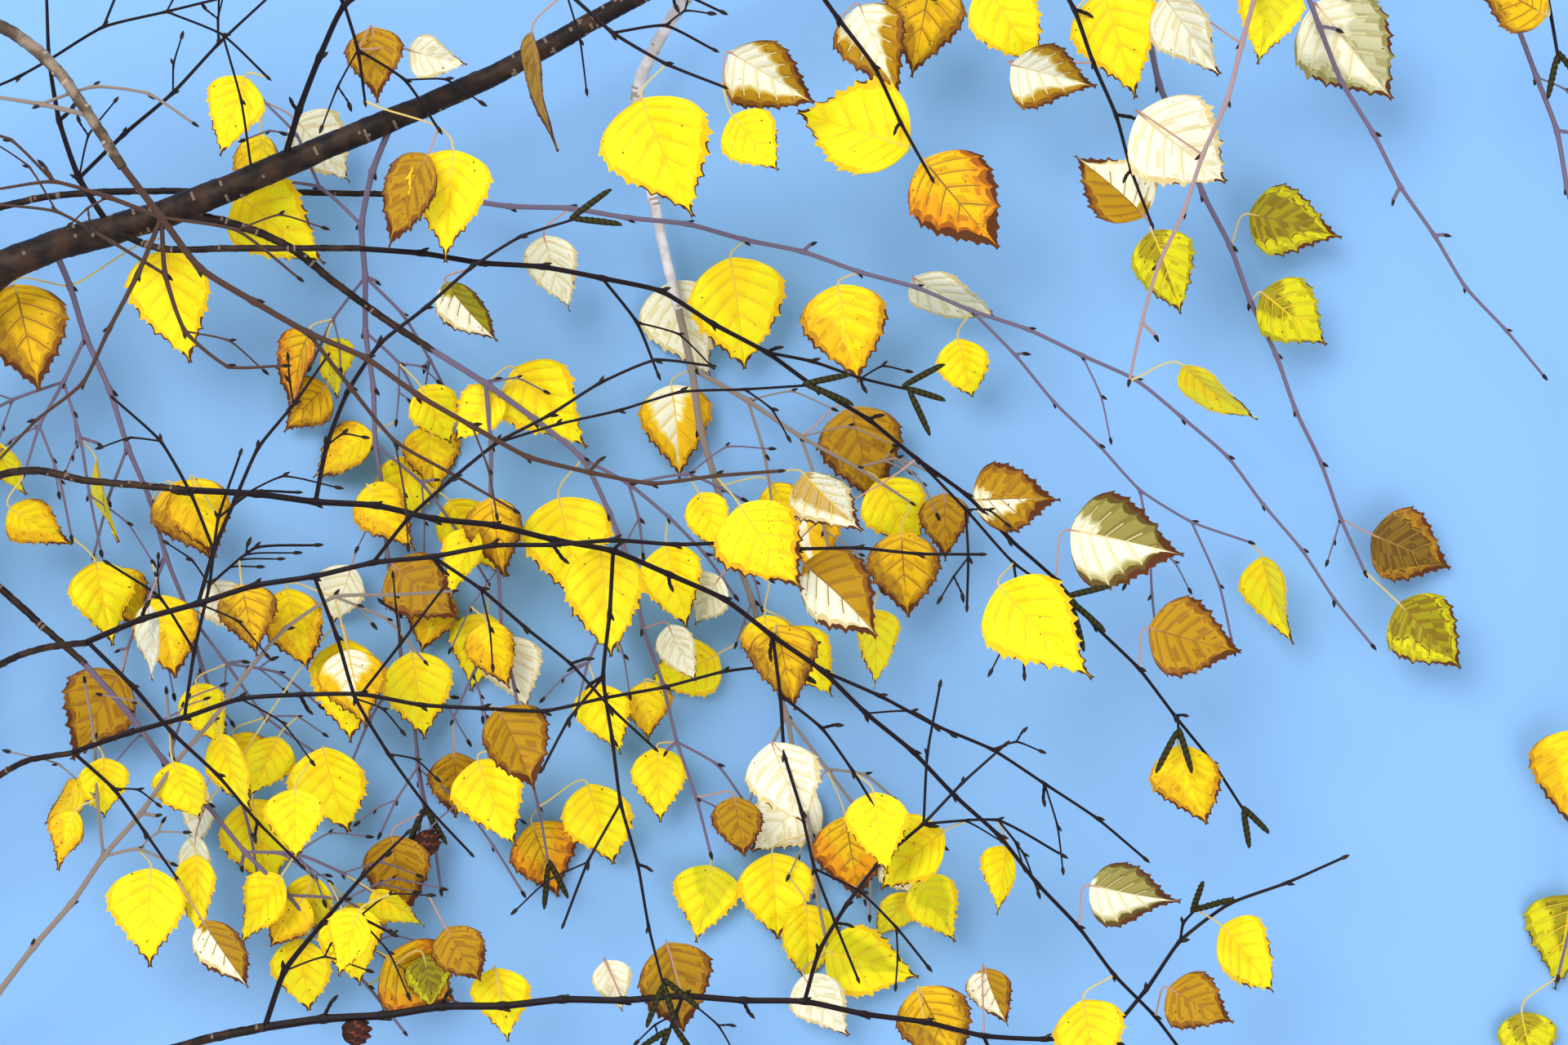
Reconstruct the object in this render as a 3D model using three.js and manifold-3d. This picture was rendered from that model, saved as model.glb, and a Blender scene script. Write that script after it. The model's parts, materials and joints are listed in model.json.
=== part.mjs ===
// A birch branch in late autumn, sawn off and laid flat: one main stem with its boughs, and the sprays of
// twigs, leaves and catkins that they carry. Lengths are in millimetres, angles in degrees, +Z points up.
import * as THREE from "three";
import { mergeVertices } from "three/addons/utils/BufferGeometryUtils.js";
import Module from "manifold-3d";

const wasm = await Module();
wasm.setup();

// Driving dimensions

const EYE_HEIGHT = 1300; // the branch is drawn as an eye this far above the ground sees it
const FOCUS_HEIGHT = 90; // plan coordinates are true at this height
const MIDDLE = { x: -32.1, y: 3.8 }; // the middle of the whole branch on the ground, in plan coordinates
const JOINT_GAP = 0.3; // between a limb and what grows from it
const GROUND_GAP = 1.2; // the lowest leaf clears the ground by this
const CLEARANCE = 1.4; // kept between leaves and twigs that don't belong together
const BOUGH_STEP = 25;
const BUD_STEP = 25; // from one bud of a twig to the next
const ZIGZAG = 0.7; // a twig turns a little at each bud
const TWIG_SIDES = 3;
const ROOT_SHARE = 0.5;
const MERGE_WITHIN = 2e-3;
const STALK = { shortest: 9, longest: 16, radius: 0.5, root: 0.25 };
const CATKIN = { length: 19, radius: 1.5, sides: 4, splay: 24, droop: 0.35, apart: 1.3 };
const SIDE_TWIG = { shortest: 30, longest: 78, angle: 42, root: 0.8, tip: 0.55, fall: 0.55, sink: 0.12 };
const OWN_ROOM = 7; // a leaf or twig may be this near to its own spray at its root
const TRIES = 12; // for a leaf or side twig that is in the way of another

const BLADE = {
  shortest: 31,
  longest: 45,
  thickness: 0.03, // of its length
  fold: 0.16, // how far the edges stand above the midrib, by their distance from it
  curl: 0.1, // how far the tip bends down
  stations: [0.1, 0.32, 0.64],
  halfWidths: [0.27, 0.4, 0.22],
};
// Lines along a blade that stand for it where clearances are measured: offset, start, end, in blade lengths.
const LANES = [
  [0, 0.1, 1],
  [0.17, 0.12, 0.72],
  [-0.17, 0.12, 0.72],
  [0.33, 0.16, 0.48],
  [-0.33, 0.16, 0.48],
];
const LANE_RADIUS = 0.06;

const COLOURS = { bark: 0x4b3a33, paleBark: 0x9a8b7c, foliage: 0xe2b11f };

// Limbs: each grows from its parent's tip, or from the point of its parent nearest to its own first point.
// Points are [x, y, height], and thick is the radius at root and tip.

const LIMBS = [
  {
    name: "main_stem",
    via: [[-383, -258, 11.9], [-368, -170, 25], [-358, -70, 42], [-356, 13, 60], [-347, 62, 72]],
    thick: [12, 7.8],
    sides: 12,
  },
  {
    name: "upper_limb",
    from: "main_stem",
    atTip: true,
    via: [
      [-320, 103, 77],
      [-253, 126, 73],
      [-195, 150, 69],
      [-120, 182, 67],
      [-63, 213, 66],
      [-3, 242, 62],
      [63, 263, 58],
    ],
    thick: [7.2, 2.3],
    sides: 10,
  },
  {
    name: "top_bough",
    from: "upper_limb",
    atTip: true,
    via: [[140, 276, 60], [220, 275, 68], [285, 254, 76]],
    thick: [2.1, 1.3],
    sides: 6,
  },
  {
    name: "over_bough",
    from: "main_stem",
    via: [[-353, 40, 68], [-374, 95, 92], [-374, 150, 108], [-360, 190, 116]],
    thick: [3.9, 3.2],
    sides: 8,
  },
  {
    name: "over_crest",
    from: "over_bough",
    atTip: true,
    via: [[-336, 208, 118], [-300, 188, 119], [-270, 145, 119]],
    thick: [3.1, 2],
    sides: 8,
  },
  {
    name: "arch_bough",
    from: "main_stem",
    via: [[-357, 0, 58], [-320, 20, 74], [-283, 17, 84], [-240, 13, 89]],
    thick: [1.8, 1.4],
    sides: 6,
  },
  {
    name: "middle_bough",
    from: "main_stem",
    via: [[-359, -90, 40], [-320, -58, 70], [-284, -49, 92]],
    thick: [1.7, 1.35],
    sides: 6,
  },
  {
    name: "slant_bough",
    from: "main_stem",
    via: [[-357, -40, 50], [-338, -12, 48], [-320, -27, 46], [-285, -58, 44]],
    thick: [1.8, 1.4],
    sides: 6,
  },
  {
    name: "low_bough",
    from: "main_stem",
    via: [[-364, -140, 32], [-320, -103, 60], [-290, -94, 70]],
    thick: [1.5, 1.2],
    sides: 6,
  },
  {
    name: "grey_bough",
    from: "main_stem",
    via: [[-372, -215, 20], [-345, -207, 38], [-320, -192, 52]],
    thick: [1.7, 1.4],
    sides: 6,
    pale: true,
  },
  {
    name: "foot_bough",
    from: "main_stem",
    via: [[-381, -250, 14], [-340, -243, 30], [-300, -232, 44], [-243, -213, 56], [-212, -206, 60]],
    thick: [2.4, 1.9],
    sides: 8,
  },
  {
    name: "reach_bough",
    from: "upper_limb",
    via: [[-285, 115, 75], [-255, 112, 86], [-220, 112, 86], [-173, 112, 86]],
    thick: [1.5, 1.25],
    sides: 6,
  },
  {
    name: "inner_bough",
    from: "upper_limb",
    via: [[-240, 131, 72], [-210, 117, 60], [-173, 90, 50], [-143, 70, 46]],
    thick: [1.9, 1.45],
    sides: 6,
  },
  {
    name: "far_bough",
    from: "upper_limb",
    via: [[-338, 84, 75], [-332, 122, 52], [-290, 134, 42], [-223, 135, 38], [-160, 134, 36]],
    thick: [1.6, 1.25],
    sides: 6,
  },
  {
    name: "pale_bough",
    from: "upper_limb",
    via: [[-20, 234, 63], [-44, 208, 44], [-60, 175, 28], [-53, 130, 22], [-43, 87, 18]],
    thick: [2.9, 2.1],
    sides: 8,
    pale: true,
  },
];

// Sprays: a stem that starts at a limb's tip, or at the nearest point of its side, and shoots led from it.
// A shoot that is led starts at the stem's bud nearest to its first point. A leaf placed by hand is
// [x, y, direction of its tip, length, roll]. The seeded rule deals out side twigs and other leaves.
// Catkins are [which shoot, how many].

const SPRAYS = [
  {
    name: "arch_spray",
    from: "arch_bough",
    atTip: true,
    seed: 11,
    via: [[-153, 4, 92], [-37, -25, 94], [67, -108, 94], [142, -192, 88], [180, -236, 74]],
    thick: [1.4, 0.65],
    led: [
      [[12, -56], [97, -100, 101], [147, -137, 100]],
      [[-82, -15], [-72, -80, 102], [-49, -190, 98]],
      [[-8, -48], [2, -100, 96], [20, -163, 92], [30, -186, 92]],
      [[-200, 12], [-173, 63, 104], [-107, 118, 114], [-85, 124, 114]],
    ],
    placed: [
      [125, -148, -14, 38, 25],
      [157, -190, -31, 30, 0],
      [122, -195, -78, 37, -10],
      [-138, 98, -55, 32, 45],
      [-75, -10, -85, 46, -15],
      [-5, -90, -70, 36, 15],
      [-3, -42, -78, 36, 15],
    ],
    twigs: 4,
    leaves: 1,
    catkins: [[2, 3], [4, 2]],
  },
  {
    name: "middle_spray",
    from: "middle_bough",
    atTip: true,
    seed: 23,
    via: [[-238, -32, 98], [-167, -17, 103], [-80, -8, 106], [80, -13, 107]],
    thick: [1.3, 0.6],
    led: [
      [[-238, -32], [-220, 20, 106], [-187, 67, 113]],
      [[-167, -17], [-130, 23, 114], [-53, 67, 119], [-30, 64, 117]],
      [[-277, -47], [-240, -95, 92], [-197, -140, 91]],
      [[-200, -26], [-167, -87, 106], [-128, -135, 104]],
      [[-133, -13], [-102, -45, 110], [-53, -92, 114]],
      [[-125, 28], [-90, 40, 118], [-40, 53, 121], [10, 56, 119]],
    ],
    placed: [],
    twigs: 1,
    leaves: 0,
    catkins: [[6, 2]],
  },
  {
    name: "low_spray",
    from: "low_bough",
    atTip: true,
    seed: 31,
    via: [[-205, -70, 82], [-107, -77, 83], [-33, -63, 79], [0, -58, 75]],
    thick: [1.15, 0.6],
    led: [
      [[-285, -93], [-267, -117, 72], [-248, -145, 72]],
      [[-167, -67], [-156, -50, 88], [-140, -28, 90]],
      [[-243, -77], [-229, 8, 82], [-222, 28, 80]],
    ],
    placed: [
      [-233, -24, -60, 30, 25],
      [-242, 18, -75, 34, -10],
      [-237, -163, -60, 34, 30],
      [-117, -76, -60, 36, -30],
    ],
    twigs: 3,
    leaves: 0,
    catkins: [[0, 2]],
  },
  {
    name: "slant_spray",
    from: "slant_bough",
    atTip: true,
    seed: 47,
    via: [[-243, -108, 42], [-190, -167, 36], [-155, -208, 26]],
    thick: [1.35, 0.65],
    led: [],
    placed: [
      [-178, -48, -90, 44, 20],
      [-240, -128, -95, 32, 50],
      [-198, -170, -85, 34, 10],
      [-147, -177, -80, 26, -15],
    ],
    twigs: 3,
    leaves: 1,
    catkins: [],
  },
  {
    name: "grey_spray",
    from: "grey_bough",
    atTip: true,
    seed: 53,
    via: [[-272, -130, 60], [-220, -63, 64], [-190, -33, 66], [-135, -28, 66]],
    thick: [1.35, 0.65],
    led: [],
    placed: [
      [-203, -27, -80, 36, 15],
      [-178, -52, -80, 36, 10],
    ],
    twigs: 4,
    leaves: 1,
    catkins: [],
    pale: true,
  },
  {
    name: "foot_spray",
    from: "foot_bough",
    atTip: true,
    seed: 64,
    via: [[-120, -197, 66], [-5, -195, 72], [122, -211, 74], [167, -165, 78], [228, -137, 80]],
    thick: [1.85, 0.6],
    led: [
      [[-207, -205], [-197, -173, 68], [-154, -127, 78]],
      [[-3, -195], [27, -153, 82], [90, -91, 84]],
      [[163, -168], [164, -163, 81], [168, -158, 84]],
      [[-45, -197], [-46, -203, 66], [-47, -208, 64]],
    ],
    placed: [
      [55, -190, -65, 38, 10],
      [-48, -172, -78, 42, -20],
      [-118, -182, -80, 33, 15],
      [82, -182, -75, 26, 30],
      [-73, -179, -70, 22, -20],
    ],
    twigs: 3,
    leaves: 1,
    catkins: [[3, 2], [4, 3]],
  },
  {
    name: "over_spray",
    from: "over_crest",
    atTip: true,
    seed: 71,
    via: [[-233, 100, 119], [-170, 66, 122], [-115, 32, 124], [-62, 17, 124], [-2, 21, 123]],
    thick: [1.5, 0.7],
    led: [
      [[-257, 124], [-254, 103, 112], [-235, 66, 108], [-204, 64, 112]],
      [[-200, 81], [-160, 35, 112], [-110, 5, 103]],
      [[-257, 124], [-290, 138, 116], [-322, 136, 116]],
      [[-245, 112], [-283, 63, 108], [-303, 43, 104], [-322, 24, 100]],
      [[-243, 110], [-290, 124, 112], [-322, 130, 110]],
    ],
    placed: [
      [-18, 7, -58, 43, 5],
      [8, 20, -47, 34, 40],
    ],
    twigs: 2,
    leaves: 0,
    catkins: [],
    pale: true,
  },
  {
    name: "reach_spray",
    from: "reach_bough",
    atTip: true,
    seed: 83,
    via: [[-87, 102, 87], [-43, 90, 86], [63, 20, 88], [147, -63, 89], [188, -118, 80]],
    thick: [1.2, 0.6],
    led: [
      [[63, 20], [92, -14, 97], [118, -33, 99]],
      [[-15, 74], [8, 66, 95], [52, 54, 98]],
      [[156, -74], [160, -79, 95], [161, -86, 95]],
    ],
    placed: [
      [88, -26, -49, 52, 10],
      [77, 9, 4, 39, -20],
      [117, -3, -11, 47, 15],
      [149, -43, -17, 40, -15],
      [161, -91, -72, 37, 20],
      [8, -17, -38, 42, -30],
    ],
    twigs: 3,
    leaves: 0,
    catkins: [[1, 3], [2, 3], [3, 2], [0, 2]],
  },
  {
    name: "inner_spray",
    from: "inner_bough",
    atTip: true,
    seed: 97,
    via: [[-80, 22, 40], [-52, -60, 30], [-30, -135, 16]],
    thick: [1.4, 0.6],
    led: [
      [[-120, 53], [-115, -40, 32], [-96, -140, 18]],
      [[-80, 22], [-48, 4, 34], [-20, -30, 28]],
    ],
    placed: [
      [-110, 63, -48, 46, 10],
      [-92, 10, -75, 48, -10],
      [-103, -123, -70, 36, -25],
      [-120, 10, -80, 34, 25],
      [-48, -9, -75, 36, 20],
      [-47, -42, -70, 26, 30],
      [-57, -65, -85, 28, -10],
      [-115, -47, -70, 34, 15],
      [-125, -97, -70, 40, 10],
      [-52, -92, -85, 32, -15],
      [-80, -107, -75, 40, 15],
      [-20, -112, -85, 28, 10],
      [-30, -140, -100, 34, -10],
    ],
    twigs: 7,
    leaves: 2,
    catkins: [[1, 2]],
  },
  {
    name: "far_spray",
    from: "far_bough",
    atTip: true,
    seed: 101,
    via: [[-33, 120, 38], [90, 82, 42], [167, 40, 42], [240, -50, 38]],
    thick: [1.2, 0.6],
    led: [[[90, 82], [150, 10, 30], [190, -8, 28]]],
    placed: [
      [195, -14, -80, 39, 60],
      [53, 100, -30, 42, 55],
      [22, 97, -80, 42, 10],
      [-22, 108, -80, 50, -10],
      [71, 75, -75, 28, 20],
      [-98, 117, -75, 34, 30],
    ],
    twigs: 2,
    leaves: 0,
    catkins: [],
  },
  {
    name: "left_spray",
    from: "upper_limb",
    seed: 107,
    via: [[-296, 110, 74], [-286, 80, 44], [-258, 5, 26], [-226, -95, 16], [-214, -150, 14]],
    thick: [1.4, 0.6],
    led: [
      [[-286, 80], [-301, 45, 40], [-310, 20, 38]],
      [[-245, -40], [-215, -75, 20], [-190, -95, 18]],
    ],
    placed: [
      [-252, 112, -84, 48, 10],
      [-314, 97, -75, 44, -15],
      [-250, 16, -62, 37, 0],
      [-316, 6, -38, 30, 20],
      [-240, -66, -70, 30, 15],
      [-225, -87, -60, 28, -20],
      [-188, -92, -80, 40, 10],
      [-217, -113, -80, 40, -15],
    ],
    twigs: 7,
    leaves: 3,
    catkins: [],
  },
  {
    name: "hanging_spray",
    from: "upper_limb",
    seed: 113,
    via: [[-168, 162, 68], [-171, 133, 56], [-170, 75, 28], [-158, -40, 14], [-140, -150, 12]],
    thick: [1.4, 0.6],
    led: [
      [[-171, 133], [-190, 138, 47], [-212, 140, 44]],
      [[-158, -80], [-150, -105, 16], [-147, -118, 15]],
    ],
    placed: [
      [-223, 134, -40, 46, 20],
      [-170, 15, -60, 34, 20],
      [-160, -17, -40, 38, -10],
      [-152, -53, -80, 38, -10],
      [-160, -128, -80, 36, 15],
    ],
    twigs: 8,
    leaves: 4,
    catkins: [[2, 2]],
  },
  {
    name: "pale_spray",
    from: "pale_bough",
    atTip: true,
    seed: 127,
    via: [[-28, 15, 15], [2, -85, 12], [18, -175, 11]],
    thick: [1.7, 0.7],
    led: [
      [[-37, 58], [0, 40, 20], [52, 8, 30]],
      [[2, -85], [28, -115, 14], [55, -140, 12]],
    ],
    placed: [
      [-47, 98, -70, 46, 55],
      [27, 47, -75, 46, 5],
      [-46, 56, -80, 40, -10],
      [-5, 16, -60, 26, 20],
      [-5, -135, -85, 38, -10],
      [25, -120, -80, 38, 15],
      [43, -135, -55, 26, 30],
      [55, -145, -60, 32, -15],
      [17, -175, -15, 42, 10],
      [8, -185, -60, 32, 25],
    ],
    twigs: 7,
    leaves: 3,
    catkins: [],
    pale: true,
  },
  {
    name: "crown_spray",
    from: "upper_limb",
    seed: 131,
    via: [[-197, 150, 70], [-177, 213, 98], [-115, 229, 110], [-55, 190, 112], [-25, 178, 111]],
    thick: [1.4, 0.6],
    led: [[[-177, 213], [-174, 190, 104], [-171, 172, 104]]],
    placed: [
      [-58, 173, -70, 51, 10],
      [-21, 166, -48, 29, 5],
      [-22, 192, -29, 41, 35],
      [-103, 200, -88, 48, 72],
      [-135, 152, -95, 44, 5],
      [-168, 202, -85, 30, 15],
      [-153, 193, -20, 24, 30],
    ],
    twigs: 3,
    leaves: 1,
    catkins: [],
  },
  {
    name: "mid_top_spray",
    from: "upper_limb",
    seed: 137,
    via: [[0, 243, 62], [30, 196, 84], [60, 141, 90]],
    thick: [1.2, 0.6],
    led: [[[16, 222], [40, 218, 58], [60, 214, 54]]],
    placed: [
      [51, 153, 160, 52, 10],
      [57, 148, -51, 47, 0],
      [31, 211, -68, 41, 20],
      [60, 222, -100, 42, 10],
    ],
    twigs: 1,
    leaves: 0,
    catkins: [],
  },
  {
    name: "right_top_spray",
    from: "top_bough",
    seed: 139,
    via: [[96, 270, 59], [122, 200, 74], [150, 122, 72]],
    thick: [1.2, 0.6],
    led: [],
    placed: [
      [82, 220, -58, 40, 10],
      [93, 187, -13, 38, 40],
      [130, 217, -69, 46, 15],
      [147, 125, 132, 40, 10],
      [150, 119, -65, 36, -15],
    ],
    twigs: 0,
    leaves: 0,
    catkins: [],
  },
  {
    name: "near_spray",
    from: "top_bough",
    seed: 149,
    via: [[196, 276, 66], [190, 205, 96], [148, 90, 99], [141, 58, 96]],
    thick: [1.3, 0.65],
    led: [],
    placed: [
      [155, 215, -55, 39, 55],
      [145, 167, -40, 46, 10],
      [163, 64, -45, 37, 68],
      [200, 221, -98, 34, 0],
    ],
    twigs: 0,
    leaves: 0,
    catkins: [],
  },
  {
    name: "right_spray",
    from: "top_bough",
    seed: 151,
    via: [[215, 275, 68], [215, 210, 52], [268, 112, 48], [310, 60, 44]],
    thick: [1.3, 0.6],
    led: [],
    placed: [[217, 212, -52, 52, 15]],
    twigs: 0,
    leaves: 0,
    catkins: [],
  },
  {
    name: "back_spray",
    from: "top_bough",
    seed: 157,
    via: [[128, 276, 60], [152, 185, 32], [190, 93, 26], [237, -20, 20]],
    thick: [1.6, 0.7],
    led: [],
    placed: [
      [190, 126, -12, 41, 10],
      [195, 94, -38, 37, -10],
      [240, -5, -22, 39, 0],
      [251, -33, -45, 38, 15],
    ],
    twigs: 0,
    leaves: 0,
    catkins: [],
  },
  {
    name: "corner_spray",
    from: "top_bough",
    atTip: true,
    seed: 163,
    via: [[303, 236, 80], [313, 212, 82], [316, 190, 82]],
    thick: [1.1, 0.7],
    led: [],
    placed: [[311, 207, 152, 38, 20]],
    twigs: 0,
    leaves: 0,
    catkins: [[0, 2]],
  },
  {
    name: "edge_spray",
    from: "top_bough",
    seed: 167,
    via: [[268, 262, 74], [312, 170, 46], [335, 20, 28], [325, -130, 15], [316, -185, 12]],
    thick: [1.2, 0.65],
    led: [],
    placed: [
      [322, -85, -95, 42, 35],
      [321, -152, -100, 42, 40],
      [301, -200, -80, 30, 10],
    ],
    twigs: 0,
    leaves: 0,
    catkins: [],
  },
  {
    name: "brow_spray",
    from: "upper_limb",
    seed: 173,
    via: [[-285, 126, 75], [-293, 152, 84], [-298, 175, 88], [-301, 214, 92]],
    thick: [1.4, 0.65],
    led: [
      [[-290, 141], [-253, 173, 92], [-211, 214, 94]],
      [[-299, 188], [-272, 204, 95], [-226, 215, 97]],
      [[-299, 188], [-312, 183, 92], [-324, 177, 90]],
      [[-241, 206], [-225, 196, 99], [-211, 182, 100]],
    ],
    placed: [
      [-220, 182, -110, 34, 20],
    ],
    twigs: 2,
    leaves: 0,
    catkins: [],
  },
  {
    name: "crest_spray",
    from: "over_crest",
    seed: 179,
    via: [[-282, 165, 119], [-300, 171, 121], [-323, 174, 120]],
    thick: [1.1, 0.7],
    led: [[[-303, 171], [-284, 177, 113], [-262, 177, 114], [-241, 163, 116]]],
    placed: [],
    twigs: 0,
    leaves: 0,
    catkins: [],
    pale: true,
  },
];

const radians = (degrees) => (degrees * Math.PI) / 180;
const mix = (low, high, share) => low + (high - low) * share;

/** A stream of even random numbers from 0 to 1 that is the same on every run. */
function drawsFrom(seed) {
  let state = seed * 7919 + 1;
  return () => {
    state = (state * 1664525 + 1013904223) % 4294967296;
    return state / 4294967296;
  };
}

/** The point at this height that the eye sees over plan point x, y. */
function seen([x, y, height]) {
  const spread = (EYE_HEIGHT - height) / (EYE_HEIGHT - FOCUS_HEIGHT);
  return new THREE.Vector3(x * spread - MIDDLE.x, y * spread - MIDDLE.y, height);
}

/** A level direction of this many degrees from +X, tilted up by slope. */
function heading(degrees, slope) {
  return new THREE.Vector3(Math.cos(radians(degrees)), Math.sin(radians(degrees)), slope).normalize();
}

/** Points at even steps along a smooth curve through the guides. */
function evenPoints(guides, step) {
  const perSpan = 16;
  const curve = new THREE.CatmullRomCurve3(guides, false, "catmullrom", 0.5);
  const fine = curve.getPoints(perSpan * (guides.length - 1));
  const reached = [0];
  for (let i = 1; i < fine.length; i++) reached.push(reached[i - 1] + fine[i].distanceTo(fine[i - 1]));
  const length = reached.at(-1);
  const count = Math.max(2, Math.round(length / step));
  const points = [fine[0].clone()];
  for (let k = 1, i = 1; k < count; k++) {
    const target = (length * k) / count;
    while (reached[i] < target) i++;
    const share = (target - reached[i - 1]) / (reached[i] - reached[i - 1]);
    points.push(fine[i - 1].clone().lerp(fine[i], share));
  }
  return [...points, fine.at(-1).clone()];
}

/** A limb or twig: its points, its radius at each, and the bend at each bud. */
function makeShoot(guides, [rootRadius, tipRadius], step, bend) {
  const points = evenPoints(guides, step);
  const last = points.length - 1;
  const straight = points.map((p) => p.clone());
  for (let i = 1; i < last; i++) {
    const along = straight[i + 1].clone().sub(straight[i - 1]);
    const aside = new THREE.Vector3(-along.y, along.x, 0).normalize();
    points[i].addScaledVector(aside, i % 2 ? bend : -bend);
  }
  return { points, radii: points.map((_, i) => mix(rootRadius, tipRadius, i / last)) };
}

/** The guides of a limb or stem, which starts at its parent's tip or at the nearest point along it. */
function guidesFrom(parent, plan) {
  const guides = plan.via.map(seen);
  if (plan.atTip) return [parent.points.at(-1).clone(), ...guides];
  if (!parent) return guides;
  const spot = nearestOn([parent], guides[0]);
  return [spot.shoot.points[spot.i].clone(), ...guides.slice(1)];
}

/** The shoot with its first ring narrowed, so that it starts inside the twig that it grows from. */
function rooted(shoot) {
  shoot.radii[0] *= ROOT_SHARE;
  return shoot;
}

/** The direction in which a shoot runs at one of its points. */
function runAt(shoot, i) {
  const after = shoot.points[Math.min(i + 1, shoot.points.length - 1)];
  const before = shoot.points[Math.max(i - 1, 0)];
  return after.clone().sub(before).normalize();
}

/** The shoot and point nearest to a place, as seen from above. */
function nearestOn(shoots, place) {
  let best = { distance: Infinity };
  shoots.forEach((shoot) =>
    shoot.points.forEach((p, i) => {
      const distance = Math.hypot(p.x - place.x, p.y - place.y);
      if (distance < best.distance) best = { distance, shoot, i };
    }),
  );
  return best;
}

/** The least distance between segments a to b and c to d. */
function segmentDistance(a, b, c, d) {
  const u = b.clone().sub(a);
  const v = d.clone().sub(c);
  const w = a.clone().sub(c);
  const uu = u.dot(u);
  const uv = u.dot(v);
  const vv = v.dot(v);
  const uw = u.dot(w);
  const vw = v.dot(w);
  const across = uu * vv - uv * uv;
  const clamp = THREE.MathUtils.clamp;
  let s = across > 1e-9 ? clamp((uv * vw - vv * uw) / across, 0, 1) : 0;
  const t = vv > 1e-9 ? clamp((uv * s + vw) / vv, 0, 1) : 0;
  s = uu > 1e-9 ? clamp((uv * t - uw) / uu, 0, 1) : 0;
  return a.clone().addScaledVector(u, s).distanceTo(c.clone().addScaledVector(v, t));
}

// Room that is already taken: rounded rods with the name of the limb or spray that each belongs to.

const taken = [];

function claim(owner, rods) {
  rods.forEach((rod) => taken.push({ owner, ...rod }));
}

/** True if no rod comes within the clearance of a taken one, save for its own spray's rods near its root. */
function isFree(owner, rods, root) {
  return rods.every(({ a, b, radius }) =>
    taken.every((other) => {
      const room = radius + other.radius + CLEARANCE;
      const nearRoot = other.owner === owner && segmentDistance(root, root, other.a, other.b) < OWN_ROOM;
      return nearRoot || segmentDistance(a, b, other.a, other.b) > room;
    }),
  );
}

function rodsOf(shoot) {
  return shoot.points.slice(1).map((b, i) => ({ a: shoot.points[i], b, radius: shoot.radii[i] }));
}

/** A place on a blade: along runs from 0 at its base to 1 at its tip, and aside is in blade lengths. */
function bladePoint(leaf, along, aside) {
  const lift = Math.abs(aside) * BLADE.fold - BLADE.curl * along * along;
  return leaf.base
    .clone()
    .addScaledVector(leaf.axis, along * leaf.length)
    .addScaledVector(leaf.side, aside * leaf.length)
    .addScaledVector(leaf.normal, lift * leaf.length);
}

function bladeRods(leaf) {
  return LANES.map(([aside, start, end]) => ({
    a: bladePoint(leaf, start, aside),
    b: bladePoint(leaf, end, aside),
    radius: LANE_RADIUS * leaf.length,
  }));
}

/** A leaf at the end of its stalk. It is levelled and raised where it would touch the ground. */
function makeLeaf(node, base, direction, slope, length, roll) {
  const lowest = GROUND_GAP + LANE_RADIUS * length;
  base.z = Math.max(base.z, lowest + BLADE.curl * length);
  const reach = (base.z - lowest - BLADE.curl * length) / length;
  const axis = heading(direction, Math.max(slope, -reach));
  const level = new THREE.Vector3(-axis.y, axis.x, 0).normalize();
  const steepest = Math.min(1, (base.z + Math.min(0, axis.z) * length * 0.5 - GROUND_GAP) / (0.4 * length));
  const turn = THREE.MathUtils.clamp(radians(roll), -Math.asin(steepest), Math.asin(steepest));
  const side = level.applyAxisAngle(axis, turn);
  return { node, base, axis, side, normal: axis.clone().cross(side), length };
}

/** A leaf whose base is at a place that was picked by hand. */
function placeLeaf(spray, [x, y, direction, length, roll]) {
  const draw = spray.draw;
  const spot = nearestOn(spray.shoots, seen([x, y, FOCUS_HEIGHT]));
  const node = spot.shoot.points[spot.i];
  const base = seen([x, y, node.z + mix(-9, 7, draw())]);
  return makeLeaf(node, base, direction, mix(-0.3, 0.15, draw()), length, roll);
}

/** A leaf that hangs from a bud picked by the spray's own draws. */
function hangLeaf(spray) {
  const draw = spray.draw;
  const shoot = spray.shoots[Math.floor(draw() * spray.shoots.length)];
  const i = 1 + Math.floor(draw() * (shoot.points.length - 1));
  const node = shoot.points[i];
  const direction = -90 + mix(-65, 65, draw());
  const stalk = mix(STALK.shortest, STALK.longest, draw());
  const base = node.clone().addScaledVector(heading(direction, mix(-0.5, 0.4, draw())), stalk);
  const turned = mix(direction, -90, 0.4) + mix(-25, 25, draw());
  const length = mix(BLADE.shortest, BLADE.longest, draw());
  const roll = mix(-45, 45, draw()) * (draw() < 0.2 ? 1.5 : 1);
  return makeLeaf(node, base, turned, mix(-0.5, 0.2, draw()), length, roll);
}

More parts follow.
